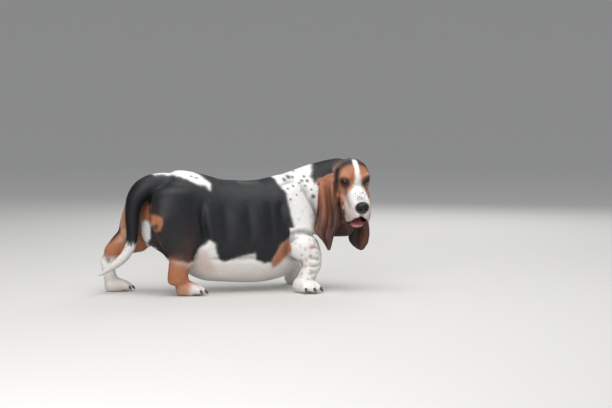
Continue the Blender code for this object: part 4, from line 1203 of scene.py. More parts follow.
# %% Colours
WHITE = (0.86, 0.845, 0.815)
BLACK = (0.0085, 0.0095, 0.0125)
BROWN_BLACK = (0.026, 0.014, 0.012)
TAN = (0.43, 0.165, 0.075)
PALE_TAN = (0.60, 0.33, 0.22)
EAR_TOP = (0.40, 0.150, 0.068)
EAR_MIDDLE = (0.25, 0.090, 0.050)
EAR_TIP = (0.060, 0.027, 0.023)
STREAK_BROWN = (0.27, 0.125, 0.080)
DARK_RUST = (0.13, 0.048, 0.030)
PINK = (0.66, 0.47, 0.42)
LIP = (0.10, 0.055, 0.055)
MOUTH_RED = (0.13, 0.028, 0.030)
# Painted shadow under the jaw: on the throat, the chin and the loose skin below.
THROAT_PAINTED_SHADOW = (0.055, 0.022, 0.015)
MUZZLE_PINK = (0.60, 0.455, 0.415)
# How dark the painted shade in hollows and creases is, on the skin and on its tufts.
CREASE_SHADE = 0.55

# %% Patches of the body: outlines in the side view, millimetres from the animal's own origin
SADDLE = np.array([
    (152, 430), (153, 366), (138, 354), (140, 335), (151, 307), (159, 262),
    (166, 226), (171, 193), (166, 176), (157, 161), (137, 153), (127, 137),
    (114, 113), (103, 92), (78, 92), (49, 102), (43, 122), (0, 116),
    (-28, 104), (-50, 97), (-66, 108), (-76, 128), (-82, 155), (-100, 168),
    (-110, 156), (-120, 150), (-134, 134), (-151, 106), (-171, 101), (-196, 105),
    (-222, 110), (-238, 126), (-258, 186), (-266, 215), (-272, 250), (-290, 262),
    (-350, 270), (-400, 430),
]) / 1000
CROUP = np.array([
    (-262, 392), (-256, 374), (-248, 366), (-195, 366), (-159, 355), (-134, 341),
    (-116, 333), (-101, 334), (-88, 320), (-82, 340), (-93, 353), (-119, 371),
    (-140, 384), (-140, 430), (-262, 430),
]) / 1000
CROUP_FLECKS = np.array((
    (-197, -40, 374), (-170, -30, 376), (-140, -45, 362), (-124, -50, 357),
)) / 1000
CROUP_FLECK_SIZES = (0.0045, 0.004, 0.0045, 0.0055)
ELBOW_TAN = np.array([
    (150, 166), (163, 160), (162, 127), (150, 107), (133, 86), (112, 76),
    (100, 90), (112, 110), (124, 137), (136, 155),
]) / 1000
NAPE = np.array([
    (264, 430), (264, 396), (252, 376), (243, 356), (251, 333), (262, 343),
    (292, 350), (306, 335), (322, 300), (480, 295), (480, 430),
]) / 1000
TICKS = (
    (160, 367, 4.0), (181, 353, 5.2), (192, 353, 3.4), (165, 345, 4.4), (206, 336, 3.2),
    (215, 342, 4.4), (231, 342, 4.2), (225, 355, 3.6), (179, 328, 3.2), (222, 327, 3.2),
    (159, 320, 3.0), (163, 288, 3.4), (244, 294, 6.0), (186, 300, 2.2), (205, 312, 2.2),
    (240, 315, 2.6), (205, 372, 3.0), (172, 372, 2.6),
)
FAINT_TICKS = (
    (185, 226, 4.0), (184, 195, 4.0), (231, 207, 4.0), (228, 234, 4.4), (214, 262, 3.6),
    (198, 250, 3.2),
)
TICK_SPREAD = 1.25
TICKS_MOVED = np.array([0.013, 0, 0.006])

# %% Patches measured in the view: millimetres right and up of the animal's origin
RUMP_TAN = [
    (-275, 279), (-257, 279), (-252, 236), (-231, 234), (-213, 223), (-210, 205), (-218, 186),
    (-228, 180), (-236, 186), (-239, 202), (-249, 205), (-254, 214), (-266, 218), (-275, 210),
    (-283, 235),
]
RUMP_WHITE = [
    (-280, 210), (-266, 218), (-254, 214), (-248, 202), (-249, 184), (-249, 163), (-258, 147),
    (-268, 149), (-277, 163), (-283, 188),
]
RUMP_TAN_LOW = [(-293, 188), (-283, 191), (-277, 163), (-269, 147), (-278, 133), (-297, 133)]
# Painted shadow in the hollow of the knob under the tail.
KNOB_HOLLOW_SHADOW = [(-238, 203), (-230, 207), (-225, 200), (-227, 191), (-234, 189)]
# Painted light on the far thigh, and further down, painted shade in the hollow of its hock.
THIGH_PAINTED_LIGHT = [
    (-340, 252), (-330, 252), (-322, 157), (-337, 133), (-368, 125), (-390, 110), (-380, 133),
    (-352, 157), (-340, 188),
]
THIGH_TAN = [(-391, 125), (-368, 145), (-321, 157), (-286, 149), (-286, 110), (-337, 106), (-391, 108)]
HOCK_PAINTED_SHADE = [(-387, 103), (-377, 102), (-376, 90), (-383, 86), (-388, 94)]
FLANK_PINK = [
    (-103, 110), (-88, 125), (-63, 110), (-53, 78), (-47, 63), (-59, 39), (-86, 39), (-102, 51),
    (-117, 63), (-113, 86),
]
THROAT_SHADE = [
    (318, 273), (343, 273), (351, 245), (359, 214), (367, 198), (381, 190), (398, 188), (412, 184),
    (412, 141), (308, 141), (315, 210),
]
# Outline of the painted shadow on and under the lower jaw, as the camera sees it.
LOWER_JAW = [
    (357, 214), (364, 214), (372, 209), (380, 203), (391, 200), (410, 200), (421, 205), (429, 213),
    (441, 216), (441, 168), (340, 161), (345, 192),
]
FORELEG_FLECKS = (
    (255, 133, 7), (235, 127, 4), (221, 136, 3), (252, 106, 6), (270, 116, 4), (225, 110, 4), (239, 94, 5),
    (207, 145, 3), (235, 74, 5), (254, 63, 6), (225, 51, 5), (243, 34, 4), (274, 94, 4), (211, 164, 3),
    (250, 157, 3),
)


def side_spots(points, table):
    """Round spots seen from the side, as far out as the skin is there."""
    table = np.array(table)
    centres = np.stack([table[:, 0], np.zeros(len(table)), table[:, 1]], axis=1) / 1000
    return spots(points, centres, table[:, 2] * TICK_SPREAD * MM, (1, 0, 1))


# %% What the patches of the body ask about a point
def on_body(points, normals, region):
    """A point's place, how far it is pushed about, where that puts it in the side view and in the
    camera's view, how much it faces the viewpoint and which part of the body it is on."""
    at = SimpleNamespace(points=points, facing=normals @ VIEW_BACK)
    at.x, at.y, at.z = points.T
    at.push = wander(points, (16 * MM, 2.4), (4.5 * MM, 1.0), (1, 2), 5)
    at.aside, at.rise = at.push.T * MM
    at.flat = points[:, [0, 2]] + at.push * MM
    at.view = flat_seen(points) + at.push
    at.on = {name: region == REGIONS.index(name) for name in LINES}
    at.saddle = within(at.flat, SADDLE, 0.003)
    at.lower = soft(at.z - 0.104 + 0.35 * (at.x + 0.19) + at.rise, 0.012)
    return at


# %% Saddle, rump and hind legs
def saddle_layers(at):
    """A pink blush low on the belly, and the black saddle."""
    blush = 0.5 + 0.5 * cloud(at.points, 40 * MM, 11)
    low = soft(at.z - 0.095, 0.05) * soft(np.abs(at.y) - 0.13, 0.06)
    on = at.on
    keep = ~(on["fore_right"] | on["fore_left"] | on["tail"] | on["hind_left"]) | (at.z > 0.2)
    return [(0.45 * low * blush, PINK), (at.saddle * keep, BLACK)]


def rump_layers(at):
    """Black behind the thighs, tan under the tail with a white slit in it, and then the near thigh's
    back edge as the camera sees it."""
    x, y, z = at.x, at.y, at.z
    rump = (at.on["trunk"] | at.on["hind_right"] | at.on["hind_left"]) & (x < -0.20)
    behind = rump * soft(x + 0.225, 0.006) * soft(0.105 - z, 0.008) * (z < 0.29)
    seat = rump * soft(x + 0.256 + 0.25 * np.abs(y) + at.aside, 0.004) * soft(z - 0.275, 0.006)
    seat = seat * soft(0.112 - z, 0.01) * soft(np.abs(y) - 0.075 + at.rise, 0.008)
    slit = seat * soft(np.abs(y + 0.006) - 0.028 + at.aside, 0.008) * soft(z - 0.235, 0.01)
    near = (rump & (y < 0.02)) * soft(0.10 - at.facing, 0.12)
    return [
        (behind * (y < -0.02), BLACK),
        (rump * soft(0.075 - y, 0.008) * soft(0.158 - z, 0.01), BLACK),
        (seat, TAN),
        (slit, WHITE),
        (near * soft(x + 0.250, 0.006) * soft(z - 0.270, 0.006), BROWN_BLACK),
        (near * within(at.view, RUMP_TAN, 2.5), TAN),
        (near * within(at.view, RUMP_WHITE, 2.5), WHITE),
        (near * within(at.view, RUMP_TAN_LOW, 3), TAN),
        # painted shadow in the knob's hollow
        (0.9 * near * within(at.view, KNOB_HOLLOW_SHADOW, 3), BLACK),
    ]


def hind_layers(at):
    """The near hind leg is tan below the thigh. The far one is black outside and tan inside, with a painted
    light and a painted shade in its hock's hollow where the camera sees it. Both end in white and pink."""
    y, z = at.y, at.z
    right, left = at.on["hind_right"], at.on["hind_left"]
    brownish = soft(z - 0.165, 0.06) * soft(np.abs(at.x + 0.165) - 0.035, 0.03) * (1 - at.lower)
    inner = left * soft(0.112 - z + at.rise, 0.01) * soft(z - 0.262, 0.008)
    outer = soft(-(y - 0.075) + at.aside, 0.006)
    facing = left * soft(0.15 - at.facing, 0.12)
    toes = soft(z - 0.034 + at.rise, 0.008) * soft(-(at.x + 0.172) + at.aside, 0.008)
    return [
        (at.lower * right, TAN),
        (0.55 * brownish * right * at.saddle, DARK_RUST),
        (inner, TAN),
        (left * (z > 0.262), BLACK),
        (left * outer * soft(-(z - 0.158) + at.rise, 0.01), BLACK),
        (facing * within(at.view, THIGH_PAINTED_LIGHT, 4), PALE_TAN),
        (facing * within(at.view, THIGH_TAN, 4), TAN),
        (0.7 * facing * within(at.view, HOCK_PAINTED_SHADE, 4), BROWN_BLACK),
        (toes * right, WHITE),
        (0.35 * (right | left) * soft(z - 0.022, 0.012), PINK),
    ]


# %% Croup, nape, ticks, tail and throat
def back_layers(at):
    """The white croup with its flecks, the tan behind the elbow and the black nape."""
    croup = within(at.flat, CROUP, 0.003) * soft(at.y - 0.028 + at.rise, 0.004)
    elbow = within(at.flat, ELBOW_TAN, 0.004) * (np.abs(at.y) > 0.06)
    nape = within(at.flat, NAPE, 0.003) * soft(-(at.z - 0.30), 0.01)
    return [
        (croup * (at.z > 0.30), WHITE),
        (0.85 * spots(at.points, CROUP_FLECKS, CROUP_FLECK_SIZES, (0.7, 1, 1.6)), BLACK),
        (elbow * at.on["trunk"], TAN),
        (nape * at.on["trunk"], BLACK),
    ]


def tick_layers(at):
    """Black ticks on neck and shoulder, the same ones moved a little on the far side, faint ones lower
    down, tan freckles on the forelegs and the pink fold of the flank."""
    points, y, z, on = at.points, at.y, at.z, at.on
    upper = on["trunk"] | on["fore_right"]
    other = side_spots(points + TICKS_MOVED, TICKS) * (y > 0.02)
    flecks = spots(at.view, [row[:2] for row in FORELEG_FLECKS], [row[2] for row in FORELEG_FLECKS])
    cover = np.clip(cloud(points, 6 * MM, 33) - 0.45, 0, 1) * 1.6
    freckles = np.clip(cloud(points, 7 * MM, 31) - 0.55, 0, 1) * 2.2
    flank = (y < 0.02) * (on["trunk"] | on["hind_right"]) * (at.x > -0.16)
    return [
        (0.92 * upper * side_spots(points, TICKS) * (y < 0.01), BLACK),
        (0.92 * (on["trunk"] | on["fore_left"]) * other, BLACK),
        (0.22 * upper * side_spots(points, FAINT_TICKS), BLACK),
        (0.8 * on["fore_right"] * flecks, PALE_TAN),
        (cover * on["fore_right"] * (z < 0.165), PALE_TAN),
        (0.6 * within(at.view, FLANK_PINK, 6) * flank * (1 - at.saddle) * (1 - at.lower), PINK),
        (freckles * on["fore_left"] * (z < 0.17), PALE_TAN),
    ]


def tail_layers(at):
    """The tail, black down to its white brush, and the shade on the loose skin under the jaw."""
    x, y, z = at.x, at.y, at.z
    brush = 0.012 * cloud(at.points * np.array([1, 1, 0.2]), 3 * MM, 41)
    under = (at.on["throat"] | at.on["trunk"]) & (z < 0.335)
    shade_at = 0.322 - 0.25 * np.clip(y + 0.03, -0.1, 0.05)
    beside = within(at.view, THROAT_SHADE, 5) * (x > 0.27)
    beside = np.maximum(beside, within(at.view, LOWER_JAW, 4) * (x > 0.30))
    shade = np.maximum(soft(shade_at - x + at.aside, 0.012), beside)
    return [
        (at.on["tail"] * soft(-(z - 0.156 - brush), 0.004) * soft(x + 0.235, 0.01), BLACK),
        (under * shade * soft(y + 0.045 + at.rise, 0.015), THROAT_PAINTED_SHADOW),
    ]


def body_colour(points, normals, region):
    """All layers of the body laid on white."""
    at = on_body(points, normals, region)
    parts = (saddle_layers, rump_layers, hind_layers, back_layers, tick_layers, tail_layers)
    white = np.tile(np.array(WHITE), (len(points), 1))
    return layered(white, [layer for part in parts for layer in part(at)])


# %% Patches of the head: the mask from the front of the face, the others in the photograph's view
MASK_TURN = 0.2
MASK = [
    (-6, 49), (-4, 44), (-1, 32), (-1, 16), (-2, 9), (-4, 1), (-6, -6), (-13, -12), (-17, -17), (-23, -24),
    (-28, -36), (-31, -60), (-29, -91), (-33, -130), (33, -130), (30, -91), (31, -60), (29, -36), (26, -24),
    (22, -17), (18, -11), (15, -6), (14, 1), (13, 9), (14, 16), (17, 32), (21, 49),
]
DARK_CROWN = [
    (391, 395), (374, 393), (362, 389), (352, 383), (344, 372), (342, 363), (341, 350), (341, 332),
    (340, 315), (336, 304), (331, 306), (329, 322), (327, 339), (325, 353), (326, 365), (329, 373),
    (337, 383), (350, 395), (360, 403), (370, 412), (398, 419), (405, 402),
]
STREAK = [
    (363, 412), (351, 411), (337, 397), (322, 383), (308, 369), (303, 355), (314, 353), (323, 367),
    (334, 382), (347, 395), (361, 404),
]
# Black hair at the ear's root, with painted shadow along the ear's front edge.
EAR_ROOT_BLACK_AND_SHADOW = [
    (325, 376), (341, 372), (341, 350), (340, 315), (336, 304), (331, 306), (328, 322), (326, 339),
    (324, 357),
]
EAR_FRONT = [
    (326, 259), (323, 238), (319, 217), (318, 190), (320, 165), (336, 169), (357, 176), (357, 259),
    (343, 273), (333, 273),
]
# Painted shade along a fold and a groove of the right ear, as the camera sees them.
EAR_FOLD_SHADE_LINE = [
    (325, 339), (325, 315), (325, 287), (326, 259), (324, 238), (319, 217), (318, 190), (318, 165),
]
EAR_GROOVE_SHADE = [(273, 249), (281, 228), (287, 203), (290, 176), (293, 155)]
# Painted shade along the folds of the cheek and the edge of the flew.
CHEEK_FOLD_SHADE_A = [(326, 304), (329, 280), (337, 259), (344, 249)]
CHEEK_FOLD_SHADE_B = [(341, 315), (343, 290), (345, 266), (348, 252)]
FLEW_FOLD_SHADE = [(356, 249), (357, 231), (359, 214), (363, 202)]
# A painted highlight over the brow.
BROW_PAINTED_HIGHLIGHT = [(342, 350), (341, 358), (347, 367), (357, 371), (362, 367), (353, 361), (347, 350)]
UNDER_EYE = [
    (344, 315), (357, 317), (377, 317), (391, 315), (388, 304), (377, 290), (367, 273), (357, 259),
    (348, 259), (343, 280),
]
CHEEK_PALE = [(344, 257), (353, 263), (360, 257), (358, 247), (348, 245)]
MUZZLE_SMUDGE = [(398, 287), (412, 291), (426, 286), (426, 277), (412, 278), (399, 275)]
PHILTRUM = [(406, 245), (416, 245), (417, 228), (410, 226)]
EAR_LINE_RIGHT = 325.0
CROWN_EDGE = ([0, 20, 35, 46, 53, 60, 66, 72], [51, 51, 48, 41, 35, 25, 14, -10])
MUZZLE_FLECKS = (
    (392.0, 302.0), (399.4, 297.0), (404.9, 291.5), (408.0, 300.9), (414.3, 305.4), (411.9, 294.3),
    (420.8, 290.4), (405.3, 308.5), (399.1, 288.7), (393.4, 293.8), (424.7, 297.7), (411.1, 287.7),
    (386.5, 296.0), (418.0, 300.0),
)
FLECK_SIZES = (2.4, 1.8, 2.9, 2.2, 3.0, 1.6, 2.0, 2.4, 1.9, 1.5, 1.8, 2.2, 1.6, 1.5)


# %% What the patches of the head ask about a point
def on_face(points, mouth_gap):
    """A point's place on the head, pushed about, and in the camera's view. The half of the face that is
    turned from the camera is read at the mirrored point."""
    at = SimpleNamespace(points=points, place=head_places(points), gap=mouth_gap / MM)
    at.push = wander(at.place, (14, 2.4), (4, 1.4), (51, 52), 5)
    ahead, at.left, at.up = at.place.T
    at.ahead = ahead + at.push[:, 0]
    mirror = carried(at.place * np.array([1, -1, 1]) * MM, HEAD)
    view = np.where(at.left[:, None] > 0, flat_seen(mirror), flat_seen(points))
    at.view = view + 0.6 * at.push
    return at


# %% Tan ground, dark crown and creases
def crown_layers(at):
    """Pale round the eyes and on the cheek, a painted highlight over the brow, then the black crown and nape.
    """
    ahead, left, up, view = at.ahead, at.left, at.up, at.view
    away = np.linalg.norm((at.place - np.array([14, 0, -26])) / np.array([44, 42, 24]), axis=1)
    outward_by = 0.98 * np.abs(left) - 0.2 * ahead + at.push[:, 0]
    height = 0.913 * up - 0.407 * ahead + 0.6 * at.push[:, 1]
    crown = soft(np.interp(outward_by, *CROWN_EDGE) - height, 4) * soft(ahead + 12, 6)
    behind = soft(ahead + 74 - 0.25 * (up + 40), 10)
    dark = np.maximum(within(view, DARK_CROWN, 3.5), within(view, EAR_ROOT_BLACK_AND_SHADOW, 3)) * (ahead < 10)
    temples = spots(at.place, [(-30, -46, 44), (-30, 46, 44)], [14, 14], (0.6, 1, 1))
    return [
        (0.45 * soft(away - 1, 0.35), PALE_TAN),
        (0.75 * within(view, UNDER_EYE, 10), PALE_TAN),
        (0.65 * within(view, BROW_PAINTED_HIGHLIGHT, 6), PALE_TAN),
        (0.65 * within(view, CHEEK_PALE, 5), WHITE),
        (np.maximum(np.maximum(crown, behind), 0.96 * dark), BLACK),
        (0.55 * temples, DARK_RUST),
        (0.8 * within(view, STREAK, 4) * (ahead < -8), STREAK_BROWN),
    ]


def crease_layers(at):
    """Painted shade: dark lines in the cheek's folds and along the flew, and shade on cheek and throat."""
    view = at.view
    creases = ((CHEEK_FOLD_SHADE_A, 4.0), (CHEEK_FOLD_SHADE_B, 2.6), (FLEW_FOLD_SHADE, 4.2))
    layers = [(0.8 * near_line(view, path, width), DARK_RUST) for path, width in creases]
    cheek = soft(at.up + 78, 22) * soft(at.ahead - 24, 8)
    throat = soft(at.up + 108, 10) * soft(at.ahead - 30, 14)
    return layers + [
        (0.8 * (within(view, THROAT_SHADE, 5) * (at.ahead < 60)), THROAT_PAINTED_SHADOW),
        (0.5 * cheek, DARK_RUST),
        (0.85 * throat, THROAT_PAINTED_SHADOW),
    ]


# %% White mask, muzzle, rims and lips
def mask_layers(at):
    """The white mask, blushing pink towards the lips, with the chin below it in shade."""
    ahead, left, up = at.ahead, at.left, at.up
    left_wavy, up_wavy = left + at.push[:, 0], up + at.push[:, 1]
    seen = left_wavy - MASK_TURN * ahead * np.clip(left / 15, -1, 1)
    mask = within(np.stack([seen, up_wavy], 1), MASK, 3)
    limit = np.interp(up, [-70, -15, 5], [18, 6, -70])
    mask = mask * soft(limit - ahead, 5) * soft(-(up + 122), 4)
    chin = soft(np.abs(left + 3) - 25, 4) * soft(up_wavy + 107, 4) * (ahead > 10)
    blush = soft(up + 30, 24) * mask
    blush = blush * soft(14 - np.abs(left) + 0.4 * np.minimum(up + 60, 0), 10)
    return [
        (mask * (1 - chin), WHITE),
        (0.8 * chin * soft(np.abs(left) - 60, 4), THROAT_PAINTED_SHADOW),
        (0.85 * blush * (0.75 + 0.25 * cloud(at.place, 9, 71)), MUZZLE_PINK),
        (0.5 * mask * soft(up + 60, 14), MUZZLE_PINK),
    ]


def muzzle_layers(at):
    """The jaw in shade, a smudge beside the nose, the line under it, and the flecks of the muzzle."""
    front = flat_seen(at.points) + 1.6 * np.stack([cloud(at.place, 3, 57), cloud(at.place, 3, 58)], 1)
    return [
        (within(at.view, LOWER_JAW, 3), THROAT_PAINTED_SHADOW),
        (0.5 * within(at.view, MUZZLE_SMUDGE, 4) * (at.ahead > 60), DARK_RUST),
        (0.7 * within(at.view, PHILTRUM, 4) * (at.ahead > 60), LIP),
        (0.8 * spots(front, MUZZLE_FLECKS, FLECK_SIZES) * (at.ahead > 40), BROWN_BLACK),
        # painted shade along the flew's fold, once more
        (0.8 * near_line(at.view, FLEW_FOLD_SHADE, 4.0), DARK_RUST),
    ]


def rim_layers(at):
    """Black lids, dark corners of the eyes, a dark edge round the nose, dark lips and a red mouth."""
    layers = []
    for side in (-1, 1):
        gaze_at = carried(at.points, eye_matrix(side).inverted()) / MM
        away = np.hypot(gaze_at[:, 1] / 15.5, (gaze_at[:, 2] + 1.0) / 17.0) + 0.07 * cloud(at.place, 3, 81)
        layers.append((0.97 * (soft(away - 1.0, 0.18) * (gaze_at[:, 0] > -16)), BLACK))
        layers.append((0.6 * spots(at.place, [(8, side * 20, -6)], [6]), BROWN_BLACK))
    away = np.linalg.norm((at.place - np.array([108, 0, -35])) / np.array([17, 23.5, 20.5]), axis=1)
    return layers + [
        (0.95 * soft(away - 1, 0.07), BROWN_BLACK),
        (0.9 * soft(at.gap - 4.2 + at.push[:, 1] * 0.6, 1.5), LIP),
        (soft(at.gap - 0.8, 0.4) * (at.ahead < 96), MOUTH_RED),
    ]


def head_colour(points, mouth_gap):
    """All layers of the head laid on tan, which varies a little in broad clouds."""
    at = on_face(points, mouth_gap)
    tan = np.tile(np.array(TAN), (len(points), 1)) * (1 + 0.12 * cloud(at.place, 12, 61))[:, None]
    parts = (crown_layers, crease_layers, mask_layers, muzzle_layers, rim_layers)
    return layered(tan, [layer for part in parts for layer in part(at)])


# %% Ears
def ear_colour(points, along, across, name):
    """Rust at the root, darker down the leather, with painted shade in its folds; the left ear is nearly
    black with a red front edge."""
    wave = 0.10 * cloud(points, 20 * MM, 91) + 0.05 * cloud(points, 6 * MM, 92)
    down = np.clip(along + wave, 0, 1)[:, None]
    top, middle, tip = np.array(EAR_TOP), np.array(EAR_MIDDLE), np.array(EAR_TIP)
    upper = top + (middle - top) * down / 0.5
    colour = np.where(down < 0.5, upper, middle + (tip - middle) * (down - 0.5) / 0.5)
    for place, width, _, start, end in EAR_FOLDS:
        # painted shade along each fold of the leather
        fold = np.exp(-(((across - place) / width) ** 2)) * soft(start - along, 0.1) * soft(along - end, 0.1)
        colour = painted(colour, 0.75 * fold, EAR_TIP)
    if name == "ear_left":
        front = soft(0.402 - points[:, 0], 0.01)[:, None]
        colour = (1 - front) * np.array(BROWN_BLACK) * 0.8 + front * np.array(DARK_RUST)
        return np.where(down < 0.25, np.array(DARK_RUST), colour)
    view = flat_seen(points) + wander(points, (12 * MM, 2.0), (4 * MM, 1.0), (93, 94), 2)
    front = soft(EAR_LINE_RIGHT - view[:, 0], 3) * soft(view[:, 1] - 300, 40)
    return layered(colour, [
        (0.55 * front, DARK_RUST),
        (0.95 * within(view, EAR_ROOT_BLACK_AND_SHADOW, 3), BROWN_BLACK),
        (0.88 * within(view, EAR_FRONT, 5), EAR_TIP),
        (0.8 * near_line(view, EAR_FOLD_SHADE_LINE, 3.2), EAR_TIP),
        (0.6 * near_line(view, EAR_GROOVE_SHADE, 4.5), EAR_TIP),
    ])


# %% All markings together
mouth_form = new_object("mouth", new_mesh("mouth", *on_head(MOUTH, 40, 64)))


def mouth_gap(points):
    """Distance from the form that the mouth was cut with."""
    return np.linalg.norm(points - snapped(points, mouth_form), axis=1)


def markings(points, normals, region, along, turn):
    """The coat's colour at each point, by region, blended where the neck meets the head."""
    colour = body_colour(points, normals, region)
    head = np.nonzero(region == REGIONS.index("head"))[0]
    colour[head] = head_colour(points[head], mouth_gap(points[head]))
    for name in ("ear_right", "ear_left"):
        mine = region == REGIONS.index(name)
        across = (2 * turn[mine]) % 1.0
        colour[mine] = ear_colour(points[mine], along[mine], across, name)
    return np.clip(colour, 0.0, 1.0)


def set_colours(mesh, name, colour):
    """A colour at each point, kept as an attribute that materials read."""
    layer = mesh.attributes.new(name, "FLOAT_COLOR", "POINT")
    layer.data.foreach_set("color", np.c_[colour, np.ones(len(colour))].astype(np.float32).ravel())


# %% The skin's colours, with painted shade where it is hollow
HOLLOW_FULL = 0.35
points, normals, edges = points_of(skin.data), normals_of(skin.data), edges_of(skin.data)
region, along, turn, way = whereabouts(points, normals)
skin_colour = markings(points, normals, region, along, turn)
hollow = ((relaxed(points, edges, np.ones(len(points)), 2) - points) * normals).sum(axis=1) / MM
hollow = relaxed(np.clip(hollow[:, None] / HOLLOW_FULL, -0.4, 1.0), edges, np.full(len(points), 0.5), 3)[:, 0]
# Painted shade: the colour is darkened where the skin is hollow.
set_colours(skin.data, "Coat", skin_colour * (1 - CREASE_SHADE * np.clip(hollow, 0, 1))[:, None])
print("regions:", {name: int((region == k).sum()) for k, name in enumerate(REGIONS)})

# %% [markdown]
# ## Skin, flesh and hair materials
# Short hair hides most of the skin but not its colour, so skin and hair read the same attribute. Both
# vary that colour a little by noise on object coordinates; the skin also gets a soft, coarser bump from
# it, and the hair's bump is at strength 0. How wet a place is, at the lips, the mouth and the eyelids, is
# a second attribute that lowers roughness.

# %% Materials that read the attributes
def new_node(material, kind, **values):
    """A node of the material with its sockets' values, each named with _ for a space."""
    node = material.node_tree.nodes.new("ShaderNode" + kind)
    for socket, value in values.items():
        node.inputs[socket.replace("_", " ")].default_value = value
    return node


def surface(name, attribute, grain, bump, roughness, wet_roughness=None, vary=0.12):
    """A Principled material: the attribute's colour times (1 +- vary) noise, a bump of the same grain
    (features to the metre), and a roughness that falls to wet_roughness where "Wet" is 1."""
    material = bpy.data.materials.new(name)
    material.use_nodes = True
    join = material.node_tree.links.new
    shader = material.node_tree.nodes["Principled BSDF"]
    colour = new_node(material, "Attribute")
    colour.attribute_name = attribute
    place = new_node(material, "TexCoord")
    noise = new_node(material, "TexNoise", Scale=grain, Detail=3.0)
    join(place.outputs["Object"], noise.inputs["Vector"])
    span = new_node(material, "MapRange", To_Min=1 - vary, To_Max=1 + vary)
    join(noise.outputs["Fac"], span.inputs["Value"])
    tint = new_node(material, "VectorMath")
    tint.operation = "SCALE"
    join(colour.outputs["Color"], tint.inputs[0])
    join(span.outputs["Result"], tint.inputs["Scale"])
    join(tint.outputs["Vector"], shader.inputs["Base Color"])
    dent = new_node(material, "Bump", Strength=bump, Distance=0.5 / grain)
    join(noise.outputs["Fac"], dent.inputs["Height"])
    join(dent.outputs["Normal"], shader.inputs["Normal"])
    shader.inputs["Roughness"].default_value = roughness
    if wet_roughness is not None:
        wet = new_node(material, "Attribute")
        wet.attribute_name = "Wet"
        dry = new_node(material, "MapRange", To_Min=roughness, To_Max=wet_roughness)
        join(wet.outputs["Fac"], dry.inputs["Value"])
        join(dry.outputs["Result"], shader.inputs["Roughness"])
    return material


def shine(material, **values):
    """Sets the shader's own sockets, each named with _ for a space."""
    shader = material.node_tree.nodes["Principled BSDF"]
    for socket, value in values.items():
        shader.inputs[socket.replace("_", " ")].default_value = value


def finished(item, material, replaced=()):
    """Puts the mesh in the solids' frame with its material, on the root body, and hides what it replaces."""
    item.data.transform(Matrix.Translation(SHIFT))
    item.data.shade_smooth()
    item.data.materials.clear()
    item.data.materials.append(material)
    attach(item, "root")
    if replaced:
        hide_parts(*replaced)


def set_value(mesh, name, value):
    """One number at each point, kept as an attribute that materials read."""
    layer = mesh.attributes.new(name, "FLOAT", "POINT")
    layer.data.foreach_set("value", np.ascontiguousarray(value, np.float32))


# %% [markdown]
# ## Eyes, nose, tongue and claws
# These are hard or wet and stay pieces of their own. An eye is a ball with a slight bulge for the
# cornea, its iris and pupil coloured by the angle from the gaze, and a clear coat for the wet shine. The
# haw, the red inner lid, shows as a crescent of flesh above the drooping lower lid. Nose leather is a
# lofted wedge with two comma-shaped nostrils, pebbled by a cell pattern.

# %% Eyes
IRIS = (0.030, 0.010, 0.006)
IRIS_RIM = (0.012, 0.006, 0.005)
EYE_WHITE = (0.09, 0.045, 0.040)
HAW = (0.38, 0.09, 0.085)


def face_outwards(mesh):
    """Every face turned so that its normal points out of the closed form."""
    shape = bmesh.new()
    shape.from_mesh(mesh)
    bmesh.ops.recalc_face_normals(shape, faces=shape.faces)
    shape.to_mesh(mesh)
    shape.free()


def eye_colour(points, side):
    """Pupil, iris and white by the angle from the gaze, with the haw's flesh low down."""
    local = carried(points, eye_matrix(side).inverted()) / EYE_RADIUS
    angle = np.degrees(np.arctan2(np.hypot(local[:, 1], local[:, 2]), local[:, 0]))
    turn = np.arctan2(local[:, 2], local[:, 1])
    fibre = 0.5 + 0.5 * np.sin(37 * turn + 3 * np.sin(11 * turn))
    colour = np.tile(np.array(EYE_WHITE), (len(points), 1))
    colour = painted(colour, soft(angle - 54, 3), IRIS_RIM)
    iris = np.array(IRIS) * (0.7 + 0.7 * fibre[:, None])
    mask = soft(angle - 49, 4)[:, None]
    colour = colour + mask * (iris - colour)
    return painted(colour, soft(angle - 26, 2), (0.002, 0.002, 0.002))


def eye(side, name):
    """A ball whose front bulges by 0.07 exp(-(angle / 0.60)^4) of its radius, as the cornea does."""
    rings, sides = ((64, 96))
    points, quads, tris = ball(EYE_RADIUS, Matrix.Identity(4), rings, sides)
    angle = np.arctan2(np.hypot(points[:, 1], points[:, 2]), points[:, 0])
    points *= (1 + 0.07 * np.exp(-((angle / 0.60) ** 4)))[:, None]
    matrix = eye_matrix(side)
    points, quads, tris = outward(carried(points, matrix), quads, tris, matrix)
    item = new_object(name, new_mesh(name, points, quads, tris))
    set_colours(item.data, "Coat", eye_colour(points, side))
    finished(item, EYE_SURFACE, [name])


def haw(side, name):
    """A crescent on a slightly larger ball, highest at the inner corner of the lids."""
    across = np.linspace(0, np.pi, 40)
    down = np.linspace(0, 1, 14)[:, None]
    top = 24 + 16 * (1 - np.cos(across - 0.35)) * 0.5
    angle = np.radians(90 - (top + (62 - top) * down))
    lift = EYE_RADIUS + (0.15 + 0.55 * np.sin(np.pi * np.clip(down, 0, 0.5))) * MM
    wide = np.radians(78) * np.cos(across)
    z = -np.cos(angle)
    flat = np.sin(angle)
    grid = np.stack([flat * np.cos(wide), flat * np.sin(wide), z], -1) * lift[..., None]
    matrix = eye_matrix(side)
    inner = grid * (1 - 0.9 * MM / EYE_RADIUS)
    points, quads, tris = closed(np.concatenate([grid, inner[:, ::-1]], axis=1))
    points, quads, tris = outward(carried(points, matrix), quads, tris, matrix)
    item = new_object(name, new_mesh(name, points, quads, tris))
    face_outwards(item.data)
    set_colours(item.data, "Coat", np.tile(np.array(HAW), (len(points), 1)))
    finished(item, FLESH_SURFACE)


